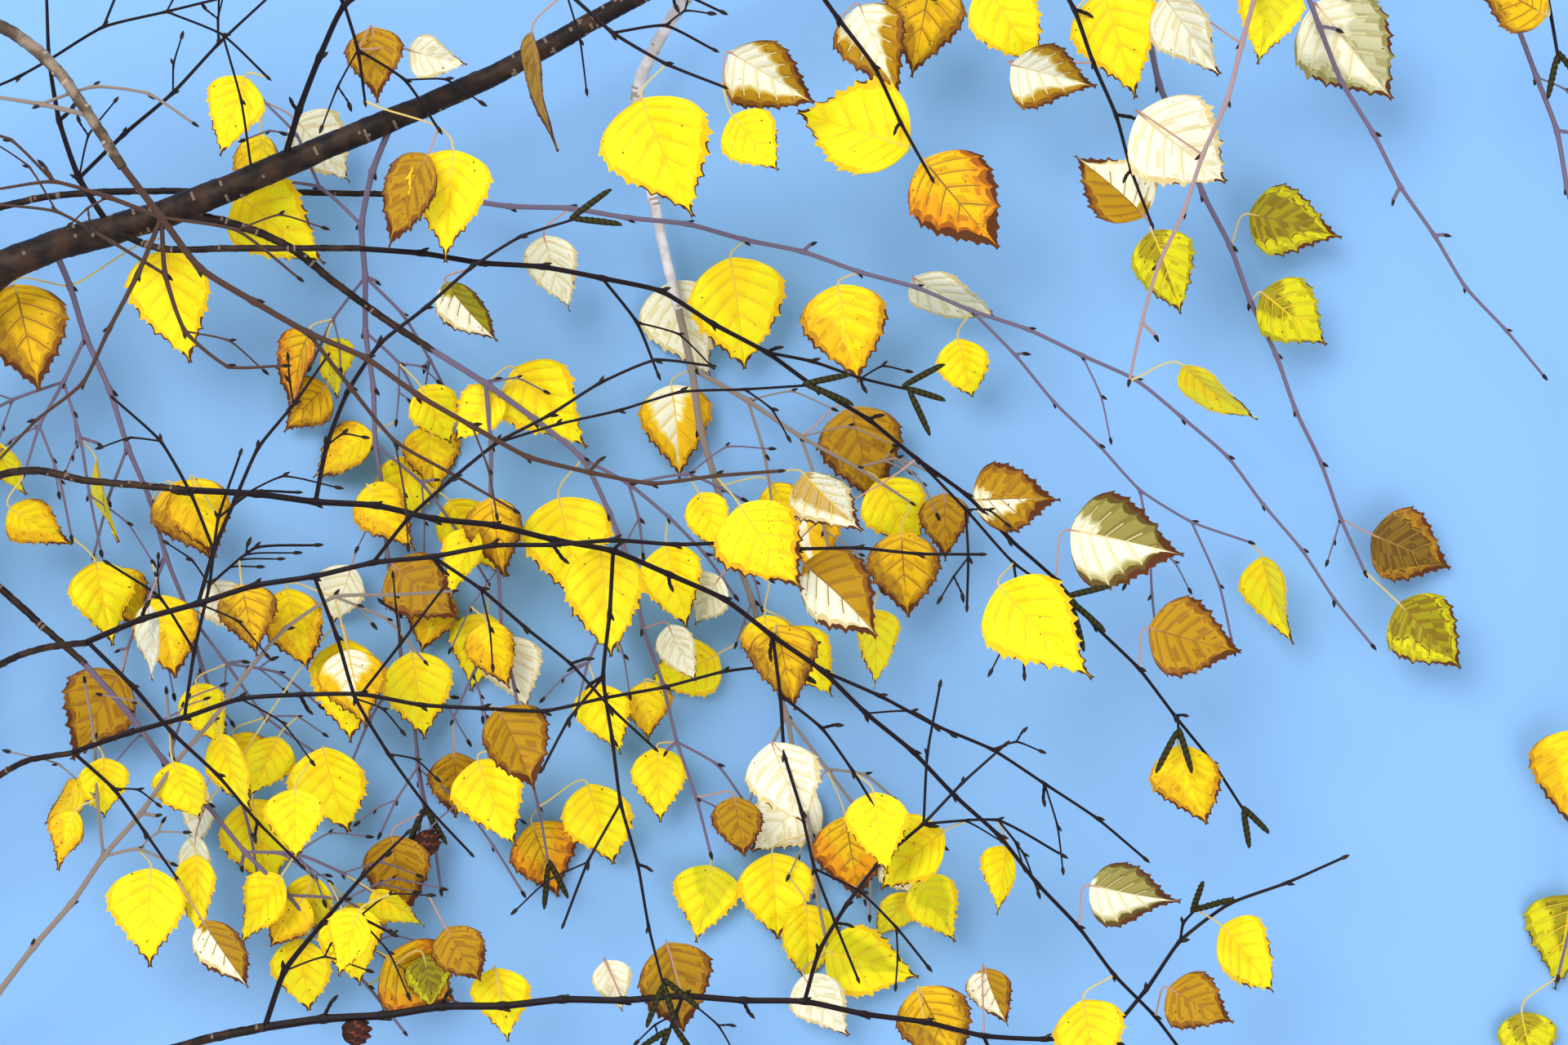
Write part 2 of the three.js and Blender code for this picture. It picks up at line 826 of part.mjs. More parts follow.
/** A side twig at a bud picked by the spray's own draws: it leaves at an angle and then falls. */
function makeSideTwig(spray) {
  const draw = spray.draw;
  const shoot = spray.mains[Math.floor(draw() * spray.mains.length)];
  const i = 1 + Math.floor(draw() * (shoot.points.length - 2));
  const run = runAt(shoot, i);
  const hand = draw() < 0.5 ? -1 : 1;
  const away = run.clone().applyAxisAngle(new THREE.Vector3(0, 0, 1), hand * radians(SIDE_TWIG.angle));
  const length = mix(SIDE_TWIG.shortest, SIDE_TWIG.longest, draw());
  const root = shoot.points[i];
  const fall = new THREE.Vector3(0, -SIDE_TWIG.fall, -SIDE_TWIG.sink);
  const middle = root.clone().addScaledVector(away, length * 0.5);
  const tip = middle.clone().addScaledVector(away.clone().add(fall).normalize(), length * 0.5);
  const lowest = GROUND_GAP + 2;
  middle.z = Math.max(middle.z, lowest);
  tip.z = Math.max(tip.z, lowest);
  const thick = [Math.min(SIDE_TWIG.root, shoot.radii[i] * 0.9), SIDE_TWIG.tip];
  return rooted(makeShoot([root, middle, tip], thick, BUD_STEP, ZIGZAG));
}

/** Two or three catkins that splay from a shoot's tip. */
function makeCatkins(shoot, count, draw) {
  const tip = shoot.points.at(-1);
  const run = runAt(shoot, shoot.points.length - 1);
  return Array.from({ length: count }, (_, k) => {
    const root = tip.clone().addScaledVector(run, -CATKIN.apart * (k + 1));
    const turn = radians((k - (count - 1) / 2) * 2 * CATKIN.splay + mix(-10, 10, draw()));
    const way = run.clone().applyAxisAngle(new THREE.Vector3(0, 0, 1), turn);
    const length = CATKIN.length * mix(0.85, 1.15, draw());
    const middle = root.clone().addScaledVector(way, length * 0.5);
    const fall = way.clone().add(new THREE.Vector3(0, -CATKIN.droop, 0)).normalize();
    const end = middle.clone().addScaledVector(fall, length * 0.5);
    const points = [root, root.clone().lerp(middle, 0.3), end.clone().lerp(middle, 0.3), end];
    const radii = [0.2, 0.9, 1, 0.4].map((share) => share * CATKIN.radius);
    return { points, radii };
  });
}

/** Takes up a growing thing in the spray if its room is free, and tries again with new draws if it isn't. */
function growInto(spray, make, rodsFor, rootOf, keep, tries) {
  for (let n = 0; n < tries; n++) {
    const made = make();
    const rods = rodsFor(made);
    if (isFree(spray.name, rods, rootOf(made))) {
      claim(spray.name, rods);
      keep.push(made);
      return;
    }
  }
}

// Growth, in rounds: all limbs and led shoots first, so that leaves and side twigs keep clear of them.

const limbs = new Map();
for (const plan of LIMBS) {
  const parent = limbs.get(plan.from);
  const limb = { ...plan, ...makeShoot(guidesFrom(parent, plan), plan.thick, BOUGH_STEP, 0) };
  limbs.set(plan.name, limb);
  claim(plan.name, rodsOf(limb));
}

const sprays = SPRAYS.map((plan) => {
  const shoots = [makeShoot(guidesFrom(limbs.get(plan.from), plan), plan.thick, BUD_STEP, ZIGZAG)];
  for (const [root, ...via] of plan.led) {
    const spot = nearestOn(shoots, seen([...root, FOCUS_HEIGHT]));
    const guides = [spot.shoot.points[spot.i].clone(), ...via.map(seen)];
    const thick = [spot.shoot.radii[spot.i] * 0.8, SIDE_TWIG.tip];
    shoots.push(rooted(makeShoot(guides, thick, BUD_STEP, ZIGZAG)));
  }
  shoots.forEach((shoot) => claim(plan.name, rodsOf(shoot)));
  const draw = drawsFrom(plan.seed);
  return { name: plan.name, plan, shoots, mains: [...shoots], leaves: [], catkins: [], draw };
});

for (const spray of sprays)
  for (const [shootIndex, count] of spray.plan.catkins) {
    const grown = makeCatkins(spray.shoots[shootIndex], count, spray.draw);
    grown.forEach((catkin) => claim(spray.name, rodsOf(catkin)));
    spray.catkins.push(...grown);
  }
for (const spray of sprays)
  for (const place of spray.plan.placed)
    growInto(spray, () => placeLeaf(spray, place), bladeRods, (leaf) => leaf.base, spray.leaves, TRIES);
for (const spray of sprays)
  for (let n = 0; n < spray.plan.twigs; n++) {
    const grow = () => makeSideTwig(spray);
    growInto(spray, grow, (twig) => rodsOf(twig).slice(1), (twig) => twig.points[0], spray.shoots, TRIES);
  }
for (const spray of sprays)
  for (let n = 0; n < spray.plan.leaves; n++)
    growInto(spray, () => hangLeaf(spray), bladeRods, (leaf) => leaf.base, spray.leaves, TRIES);

// Solids

/** A closed solid whose skin runs from ring to ring, with flat ends. A ring may be one point, repeated. */
function loft(rings) {
  const sides = rings[0].length;
  const triangles = [];
  for (let i = 0; i < rings.length - 1; i++)
    for (let k = 0; k < sides; k++) {
      const here = i * sides + k;
      const next = i * sides + ((k + 1) % sides);
      triangles.push([here, next, next + sides], [here, next + sides, here + sides]);
    }
  const end = (rings.length - 1) * sides;
  for (let k = 1; k < sides - 1; k++) triangles.push([0, k + 1, k], [end, end + k, end + k + 1]);

  const skin = new THREE.BufferGeometry();
  const corners = triangles.flat().flatMap((i) => rings.flat()[i].toArray());
  skin.setAttribute("position", new THREE.Float32BufferAttribute(corners, 3));
  return solidFrom(skin);
}

/** The solid inside a closed skin, with corners that lie together merged and flat faces dropped. */
function solidFrom(skin) {
  const merged = mergeVertices(skin, MERGE_WITHIN);
  const index = Array.from(merged.index.array);
  const kept = [];
  for (let i = 0; i < index.length; i += 3) {
    const face = index.slice(i, i + 3);
    if (new Set(face).size === 3) kept.push(...face);
  }
  const vertProperties = merged.attributes.position.array;
  return new wasm.Manifold(new wasm.Mesh({ numProp: 3, vertProperties, triVerts: new Uint32Array(kept) }));
}

/** A tube along a shoot, thicker all round by extra. */
function tube({ points, radii }, sides, extra = 0) {
  let across = new THREE.Vector3(0, 0, 1);
  const rings = points.map((centre, i) => {
    const run = runAt({ points }, i);
    across = across.clone().addScaledVector(run, -across.dot(run)).normalize();
    const up = run.clone().cross(across);
    return Array.from({ length: sides }, (_, k) => {
      const angle = (2 * Math.PI * k) / sides;
      const radius = radii[i] + extra;
      const out = across.clone().multiplyScalar(Math.cos(angle)).addScaledVector(up, Math.sin(angle));
      return centre.clone().addScaledVector(out, radius);
    });
  });
  return loft(rings);
}

/** The room that is cut from a limb's children: its tube with the joint gap all round and past its tip. */
function limbRoom(limb) {
  const beyond = limb.points.at(-1).clone().addScaledVector(runAt(limb, limb.points.length - 1), JOINT_GAP);
  const points = [...limb.points, beyond];
  const radii = [...limb.radii, limb.radii.at(-1)];
  return tube({ points, radii }, limb.sides, JOINT_GAP);
}

/** A leaf: a four-sided stalk that opens into a blade with sharp rims, thickest along its midrib. */
function leafSolid(leaf) {
  const stalkRun = leaf.base.clone().sub(leaf.node).normalize();
  const stalkRing = (centre, run, radius) => {
    const turn = new THREE.Quaternion().setFromUnitVectors(leaf.axis, run);
    const side = leaf.side.clone().applyQuaternion(turn).multiplyScalar(radius);
    const rise = leaf.normal.clone().applyQuaternion(turn).multiplyScalar(radius);
    return [side, rise, side.clone().negate(), rise.clone().negate()].map((out) => out.add(centre));
  };
  const rise = leaf.normal.clone().multiplyScalar((BLADE.thickness * leaf.length) / 2);
  const bladeRings = BLADE.stations.map((along, i) => {
    const midrib = bladePoint(leaf, along, 0);
    const halfWidth = BLADE.halfWidths[i];
    const [left, right] = [bladePoint(leaf, along, halfWidth), bladePoint(leaf, along, -halfWidth)];
    return [left, midrib.clone().add(rise), right, midrib.clone().sub(rise)];
  });
  const tip = bladePoint(leaf, 1, 0);
  const baseRun = stalkRun.clone().add(leaf.axis).normalize();
  const root = stalkRing(leaf.node, stalkRun, STALK.root);
  return loft([root, stalkRing(leaf.base, baseRun, STALK.radius), ...bladeRings, [tip, tip, tip, tip]]);
}

/** The largest body of a solid: a scrap that a cut leaves loose is dropped, and a sealed hollow is filled. */
function largestBody(solid) {
  return solid.decompose().sort((a, b) => b.volume() - a.volume())[0];
}

function skinOf(solid) {
  const made = solid.getMesh();
  const skin = new THREE.BufferGeometry();
  skin.setAttribute("position", new THREE.BufferAttribute(made.vertProperties, 3));
  skin.setIndex(new THREE.BufferAttribute(made.triVerts, 1));
  return skin;
}

function fuse(solids) {
  return solids.reduce((whole, solid) => whole.add(solid));
}

function meshFrom(solid, name, colour) {
  const geometry = skinOf(largestBody(solidFrom(skinOf(largestBody(solid)))));
  geometry.computeVertexNormals();
  const material = new THREE.MeshStandardMaterial({ color: colour, roughness: 0.75, metalness: 0 });
  const mesh = new THREE.Mesh(geometry, material);
  mesh.name = name;
  return mesh;
}

const woodGroup = new THREE.Group();
for (const limb of limbs.values()) {
  let solid = tube(limb, limb.sides);
  const parent = limbs.get(limb.from);
  if (parent) solid = solid.subtract(limbRoom(parent));
  woodGroup.add(meshFrom(solid, limb.name, limb.pale ? COLOURS.paleBark : COLOURS.bark));
}

const sprayGroup = new THREE.Group();
for (const spray of sprays) {
  const pieces = [
    ...spray.shoots.map((shoot) => tube(shoot, TWIG_SIDES)),
    ...spray.catkins.map((catkin) => tube(catkin, CATKIN.sides)),
    ...spray.leaves.map(leafSolid),
  ];
  const solid = fuse(pieces).subtract(limbRoom(limbs.get(spray.plan.from)));
  sprayGroup.add(meshFrom(solid, spray.name, COLOURS.foliage));
}

const branch = new THREE.Group();
branch.add(woodGroup, sprayGroup);

export default branch;
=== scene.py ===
"""A cut birch branch in autumn leaf, lying down: bark, twigs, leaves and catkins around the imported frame.

The limbs get bark with relief. Each spray grows again by the seeded rule of the part's source, which is
carried on to finer twigs, buds and toothed leaves. Growth is worked out in millimetres, with +Z up.
"""

from __future__ import annotations

import json
import logging
import math
import sys
from dataclasses import dataclass, replace
from enum import Enum

import bpy
import numpy as np
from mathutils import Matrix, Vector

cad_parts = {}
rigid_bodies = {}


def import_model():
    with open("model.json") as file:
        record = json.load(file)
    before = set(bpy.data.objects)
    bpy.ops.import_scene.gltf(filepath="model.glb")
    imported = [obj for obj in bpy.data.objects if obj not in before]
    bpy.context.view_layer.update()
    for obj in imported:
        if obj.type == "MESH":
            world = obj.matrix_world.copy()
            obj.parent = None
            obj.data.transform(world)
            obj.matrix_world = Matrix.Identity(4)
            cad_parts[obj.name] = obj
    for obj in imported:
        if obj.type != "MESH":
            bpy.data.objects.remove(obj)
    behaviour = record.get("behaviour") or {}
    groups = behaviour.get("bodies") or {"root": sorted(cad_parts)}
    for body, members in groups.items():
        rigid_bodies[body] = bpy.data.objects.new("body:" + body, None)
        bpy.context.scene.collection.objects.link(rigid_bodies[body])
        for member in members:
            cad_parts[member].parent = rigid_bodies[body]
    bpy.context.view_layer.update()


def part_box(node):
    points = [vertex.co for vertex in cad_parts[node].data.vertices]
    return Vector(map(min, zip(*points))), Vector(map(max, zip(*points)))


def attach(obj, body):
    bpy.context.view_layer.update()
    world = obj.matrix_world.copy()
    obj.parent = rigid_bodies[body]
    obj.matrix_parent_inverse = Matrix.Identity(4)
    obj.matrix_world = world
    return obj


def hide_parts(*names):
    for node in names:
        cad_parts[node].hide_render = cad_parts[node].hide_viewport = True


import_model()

LOG = logging.getLogger("birch_branch")
MM = 0.001
UP = np.array([0.0, 0.0, 1.0])
Array = np.ndarray
Value = float | Array
Tree = bpy.types.NodeTree
Socket = bpy.types.NodeSocket
Pair = tuple[float, float]
Triple = tuple[float, float, float]


class Bark(Enum):
    """The record's slots for the bark of limbs."""

    DARK = "dark_bark"
    PALE = "pale_bark"


class TwigTone(Enum):
    """How the young bark of a spray looks: shaded, brown, greyish, rosy, or old and grey-tan."""

    DARK = "dark"
    BROWN = "brown"
    MAUVE = "mauve"
    ROSY = "rosy"
    PALE = "pale"


# Small tools


def linear(hex_colour: str) -> tuple[float, float, float, float]:
    """Turns an sRGB hex colour into linear RGBA."""
    channels = [int(hex_colour[i : i + 2], 16) / 255 for i in (0, 2, 4)]
    red, green, blue = (c / 12.92 if c <= 0.04045 else ((c + 0.055) / 1.055) ** 2.4 for c in channels)
    return (red, green, blue, 1.0)


def add_node(
    tree: Tree, kind: str, inputs: dict[str | int, object] | None = None, **settings: object
) -> bpy.types.Node:
    """Adds a shader node with its settings, and sets or links its inputs.

    Args:
        tree: The node tree that the node joins.
        kind: Blender's name of the node's type, without ShaderNode in front.
        inputs: Values by the name or number of the input. A socket given as value is linked.
        **settings: Properties of the node.

    Returns:
        The new node.
    """
    node = tree.nodes.new("ShaderNode" + kind)
    for name, value in settings.items():
        setattr(node, name, value)
    for name, value in (inputs or {}).items():
        if isinstance(value, Socket):
            tree.links.new(value, node.inputs[name])
        else:
            node.inputs[name].default_value = value
    return node


def noise(tree: Tree, place: Socket, size: float, detail: float) -> Socket:
    """Noise from 0 to 1, with features of this size in millimetres."""
    inputs = {"Vector": place, "Scale": 1 / (size * MM), "Detail": detail}
    return add_node(tree, "TexNoise", inputs).outputs["Fac"]


def mixed(tree: Tree, share: Socket, first: str, second: str) -> Socket:
    """The first colour, turned into the second by a share from 0 to 1."""
    inputs = {0: share, 6: linear(first), 7: linear(second)}
    return add_node(tree, "Mix", inputs, data_type="RGBA").outputs[2]


def linked(name: str, data: bpy.types.ID) -> bpy.types.Object:
    """A new object of this name and data, linked into the scene."""
    made = bpy.data.objects.new(name, data)
    bpy.context.scene.collection.objects.link(made)
    return made


def unit(vector: Array) -> Array:
    """The vector at length 1, or zero if it has no length."""
    return vector / (math.sqrt(float(vector @ vector)) or 1.0)


def turned(vector: Array, axis: Array, angle: float) -> Array:
    """The vector turned about a unit axis by an angle in radians."""
    across = np.cross(axis, vector)
    along = axis * float(axis @ vector)
    return along + (vector - along) * math.cos(angle) + across * math.sin(angle)


def heading(degrees: float, slope: float) -> Array:
    """A level direction of this many degrees from +X, tilted up by slope."""
    angle = math.radians(degrees)
    return unit(np.array([math.cos(angle), math.sin(angle), slope]))


def between(low: Value, high: Value, share: Value) -> Value:
    """The value or point at a share of the way from low to high."""
    return low + (high - low) * share


def eased(values: Array, low: float, high: float) -> Array:
    """A smooth step from 0 at low to 1 at high."""
    share = np.clip((values - low) / (high - low), 0.0, 1.0)
    return share * share * (3.0 - 2.0 * share)


class Draws:
    """A stream of even random numbers from 0 to 1 that is the same on every run."""

    span = 2**32
    factor = 1664525
    shift = 1013904223

    def __init__(self, seed: int) -> None:
        """Starts the stream at a seed."""
        self.state = seed * 7919 + 1

    def next(self) -> float:
        """The next number."""
        self.state = (self.state * self.factor + self.shift) % self.span
        return self.state / self.span

    def within(self, low: float, high: float) -> float:
        """The next number, spread from low to high."""
        return between(low, high, self.next())

    def pick(self, count: int) -> int:
        """A whole number from 0 to count - 1."""
        return math.floor(self.next() * count)

    def many(self, count: int, low: float, high: float) -> Array:
        """An array of numbers, spread from low to high."""
        return np.array([self.within(low, high) for _ in range(count)])


# Finishes


@dataclass(frozen=True)
class Finish:
    """A real material and how its surface came about. Colours are sRGB hex, and sizes in millimetres."""

    name: str
    colour: str
    roughness: Pair = (0.5, 0.65)
    grain: float = 1.0
    relief: float = 0.05
    ior: float = 1.45
    gloss: float = 0.5

    def material(self) -> bpy.types.Material:
        """Builds the finish as a node material, once for the whole scene.

        Returns:
            The material.
        """
        known = bpy.data.materials.get(self.name)
        if known:
            return known
        made = bpy.data.materials.new(self.name)
        made.use_nodes = True
        tree = made.node_tree
        tree.nodes.clear()
        place = add_node(tree, "TexCoord").outputs["Object"]
        grain = noise(tree, place, self.grain, 3.0)
        low, high = self.roughness
        rough = add_node(tree, "MapRange", {"Value": grain, "To Min": low, "To Max": high})
        height = self.height(tree, place, grain)
        bump = add_node(tree, "Bump", {"Height": height, "Strength": 0.8, "Distance": self.relief * MM})
        inputs = {
            "Base Color": self.base(tree, place),
            "Roughness": rough.outputs["Result"],
            "Normal": bump.outputs["Normal"],
            "IOR": self.ior,
            "Specular IOR Level": self.gloss,
        }
        shader = add_node(tree, "BsdfPrincipled", inputs)
        add_node(tree, "OutputMaterial", {"Surface": shader.outputs["BSDF"]})
        made.diffuse_color = linear(self.colour)
        return made

    def base(self, tree: Tree, place: Socket) -> object:
        """The base colour: plain, so that each leaf and twig keeps its own in an export."""
        return linear(self.colour)

    def height(self, tree: Tree, place: Socket, grain: Socket) -> Socket:
        """The height that the bump follows: the grain alone."""
        return grain


@dataclass(frozen=True)
class BladeFinish(Finish):
    """Dead leaf tissue, dried in the air: a fine net of veinlets stands out of the blade."""

    net: float = 1.3

    def height(self, tree: Tree, place: Socket, grain: Socket) -> Socket:
        """Cells of the vein net, sunk at their edges, with the grain on top."""
        inputs = {"Vector": place, "Scale": 1 / (self.net * MM)}
        edge = add_node(tree, "TexVoronoi", inputs, feature="DISTANCE_TO_EDGE").outputs["Distance"]
        inputs = {"Value": edge, "From Max": 0.25}
        dome = add_node(tree, "MapRange", inputs, interpolation_type="SMOOTHSTEP").outputs["Result"]
        return add_node(tree, "Math", {0: dome, 1: grain}, operation="ADD").outputs[0]


@dataclass(frozen=True)
class BarkFinish(Finish):
    """Thin smooth bark that is clouded by age, lichen and wear."""

    clouds: str = "000000"
    cloud_size: float = 9.0
    contrast: Pair = (0.4, 0.65)

    def base(self, tree: Tree, place: Socket) -> object:
        """Two bark colours in soft clouds."""
        low, high = self.contrast
        inputs = {"Value": noise(tree, place, self.cloud_size, 6.0), "From Min": low, "From Max": high}
        share = add_node(tree, "MapRange", inputs, interpolation_type="SMOOTHSTEP").outputs["Result"]
        return mixed(tree, share, self.colour, self.clouds)


@dataclass(frozen=True)
class SawnFinish(Finish):
    """The sawn end of the stem: pale wood with darker yearly rings round its middle."""

    rings: str = "B98F5E"
    centre: Triple = (0.0, 0.0, 0.0)
    ring_width: float = 1.6
    warp: float = 1.5

    def base(self, tree: Tree, place: Socket) -> object:
        """Rings by the distance from the stem's middle, bent a little by noise."""
        inputs = {0: place, 1: tuple(c * MM for c in self.centre)}
        offset = add_node(tree, "VectorMath", inputs, operation="DISTANCE").outputs["Value"]
        inputs = {0: noise(tree, place, 5.0, 2.0), 1: self.warp * MM, 2: offset}
        bent = add_node(tree, "Math", inputs, operation="MULTIPLY_ADD").outputs[0]
        inputs = {0: bent, 1: 2 * math.pi / (self.ring_width * MM)}
        turns = add_node(tree, "Math", inputs, operation="MULTIPLY").outputs[0]
        wave = add_node(tree, "Math", {0: turns}, operation="SINE").outputs[0]
        inputs = {"Value": wave, "From Min": 0.2, "From Max": 1.0}
        share = add_node(tree, "MapRange", inputs).outputs["Result"]
        return mixed(tree, share, self.colour, self.rings)


# Young birch bark is thin and smooth: very dark reddish brown, dully glossy, with lighter patches.
DARK_BARK = BarkFinish(
    "birch_bark_young_smooth", "1C110C", (0.45, 0.65), 1.2, 0.12, gloss=0.25, clouds="3C281C"
)
# The bough that bends over the thick limb has worn, greyer bark.
WORN_BARK = BarkFinish("birch_bark_worn", "4E3C2E", (0.55, 0.75), 1.2, 0.14, gloss=0.3, clouds="94826E")
# Weathered bark has lost its gloss: grey-tan, with paler dusty clouds.
PALE_BARK = BarkFinish(
    "birch_bark_weathered", "7A6858", (0.65, 0.85), 1.4, 0.16, gloss=0.3, clouds="B4A594"
)
# The one bough whose bark has turned white: chalky and matt, with a faint pink cast.
WHITE_BARK = BarkFinish("birch_bark_white", "CDC3C0", (0.7, 0.9), 1.4, 0.12, gloss=0.3, clouds="EAE4E6")
# Pores in the bark are raised and corky: pale, quite matt.
PORE = Finish("cork_pore_raised", "7A6654", (0.8, 0.95), 0.4, 0.08)
PALE_PORE = Finish("cork_pore_weathered", "A89A88", (0.8, 0.95), 0.4, 0.08)
SAWN_WOOD = SawnFinish("birch_wood_sawn", "DDBE90", (0.6, 0.8), 0.5, 0.1)

# Shoots of the last years have waxy bark: nearly black in shade, and brown, greyish or rosy where lit.
TWIG_BARK = {
    TwigTone.DARK: Finish("shoot_bark_waxy_dark", "190D13", (0.4, 0.6), 0.6, 0.06, gloss=0.2),
    TwigTone.BROWN: Finish("shoot_bark_waxy_brown", "4A3226", (0.4, 0.6), 0.6, 0.06, gloss=0.3),
    TwigTone.MAUVE: Finish("shoot_bark_waxy_lit", "716377", (0.4, 0.6), 0.6, 0.06, gloss=0.3),
    TwigTone.ROSY: Finish("shoot_bark_waxy_rosy", "A88A88", (0.45, 0.6), 0.6, 0.06, gloss=0.3),
    TwigTone.PALE: Finish("shoot_bark_weathered", "8E7E72", (0.6, 0.8), 0.8, 0.08, gloss=0.3),
}
# Bud scales are stuck together with resin: dark brown, satin.
BUD_SCALE = Finish("bud_scale_resinous", "241810", (0.3, 0.45), 0.5, 0.06, gloss=0.3)
CATKIN_SCALE = Finish("catkin_scale_closed", "26240E", (0.5, 0.7), 0.4, 0.05, gloss=0.2)
CATKIN_EDGE = Finish("catkin_scale_edge", "454016", (0.55, 0.75), 0.4, 0.05, gloss=0.2)
# Ripe seed cones have dried to a rusty brown, with paler edges on their scales.
CONE_SCALE = Finish("seed_cone_scale_dry", "3A170C", (0.7, 0.9), 0.5, 0.08)
CONE_EDGE = Finish("seed_cone_scale_edge", "743820", (0.7, 0.9), 0.5, 0.08)


def blended(first: str, second: str, share: float) -> str:
    """The sRGB hex colour at a share of the way from the first to the second."""
    pairs = ((int(first[i : i + 2], 16), int(second[i : i + 2], 16)) for i in (0, 2, 4))
    return "".join(f"{round(between(low, high, share)):02X}" for low, high in pairs)


def blade_finish(name: str, colour: str) -> BladeFinish:
    """Leaf tissue of this colour, dry and a little leathery."""
    return BladeFinish("leaf_" + name, colour, (0.45, 0.62), 0.5, 0.12, gloss=0.25)


class Tone(Enum):
    """Colours of dried birch leaves: the blade, the deeper strip beside its veins, and the rim.

    The tones are partly the leaves' own colours and partly painted light and shade: cream paints sunlight off
    a leaf's underside, and gold, amber, olive and moss partly paint a leaf's shaded parts.
    """

    LEMON = ("FFEE14", "FFE40E", "F8C60C")
    BRIGHT = ("FFDF08", "FAD106", "E8AC08")
    # Gold and amber are partly painted shade on a yellow leaf.
    GOLD = ("F2BE0A", "E6AE08", "C48A0A")
    AMBER = ("BC8C0C", "AC7C0C", "8E5A10")
    UMBER = ("80600F", "72520E", "54360C")
    # Cream is painted light: sunlight off a leaf's pale underside.
    CREAM = ("FAF4D6", "F4EAC0", "E0C888")
    SAGE = ("CFC89C", "BEB684", "968A4C")
    MOSS = ("A4974C", "90823C", "665020")
    OLIVE = ("A3960C", "918209", "6A5209")
    LIME = ("DCD20C", "CEC20A", "A89C0A")
    ORANGE = ("F2A20C", "DE8E0A", "A85C0C")
    TAN = ("CDAA60", "BA964C", "8C6026")

    def finish(self, part: int) -> BladeFinish:
        """The finish of the blade (0), of the strips beside its veins (1) or of its rim (2)."""
        return blade_finish(f"{('blade', 'strip', 'rim')[part]}_{self.name.lower()}", self.value[part])

    def mottle(self) -> BladeFinish:
        """The finish of darker patches: partly leaf that has browned more than the rest, partly painted
        shade.
        """
        return blade_finish(f"patch_{self.name.lower()}", blended(self.value[0], self.value[2], 0.55))

    def towards(self, other: Tone, share: int) -> BladeFinish:
        """The finish of the narrow zone where this tone turns to the other, by thirds."""
        if other is self:
            return self.finish(0)
        name = f"blade_{self.name.lower()}_{share}_{other.name.lower()}"
        return blade_finish(name, blended(self.value[0], other.value[0], share / 3))


# Veins are woodier than the blade: smooth, and yellow or brown by the leaf's age.
VEIN_GOLD = Finish("leaf_vein_gold", "F0C410", (0.4, 0.55), 0.4, 0.03)
VEIN_BROWN = Finish("leaf_vein_brown", "94680F", (0.4, 0.55), 0.4, 0.03)
VEIN_TAN = Finish("leaf_vein_tan", "E2D09A", (0.4, 0.55), 0.4, 0.03)
# Scorched tissue at tips and edges, and the spots that a rust fungus leaves: dry, dark and matt.
SCORCH = Finish("leaf_edge_scorched", "5C3012", (0.75, 0.9), 0.5, 0.1, gloss=0.3)
SPOT = Finish("leaf_spot_dry", "6A4210", (0.75, 0.9), 0.3, 0.03, gloss=0.3)
STALK_YELLOW = Finish("leaf_stalk_yellow", "D8BC6A", (0.4, 0.55), 0.5, 0.03)
STALK_PINK = Finish("leaf_stalk_reddish", "B88C78", (0.4, 0.55), 0.5, 0.03)


@dataclass(frozen=True)
class LeafColours:
    """How a leaf is coloured: an outer tone reaches in from tip and edge, by a share for each half. The split
    is partly the leaf's turning colour and partly painted light and shade, a lit part beside a shaded part.
    """

    inner: Tone
    outer: Tone
    spread: Pair
    vein: Finish = VEIN_GOLD
    scorch: float = 0.08
    spots: int = 0
    stalk: Finish = STALK_YELLOW
    mottle: float = 0.0


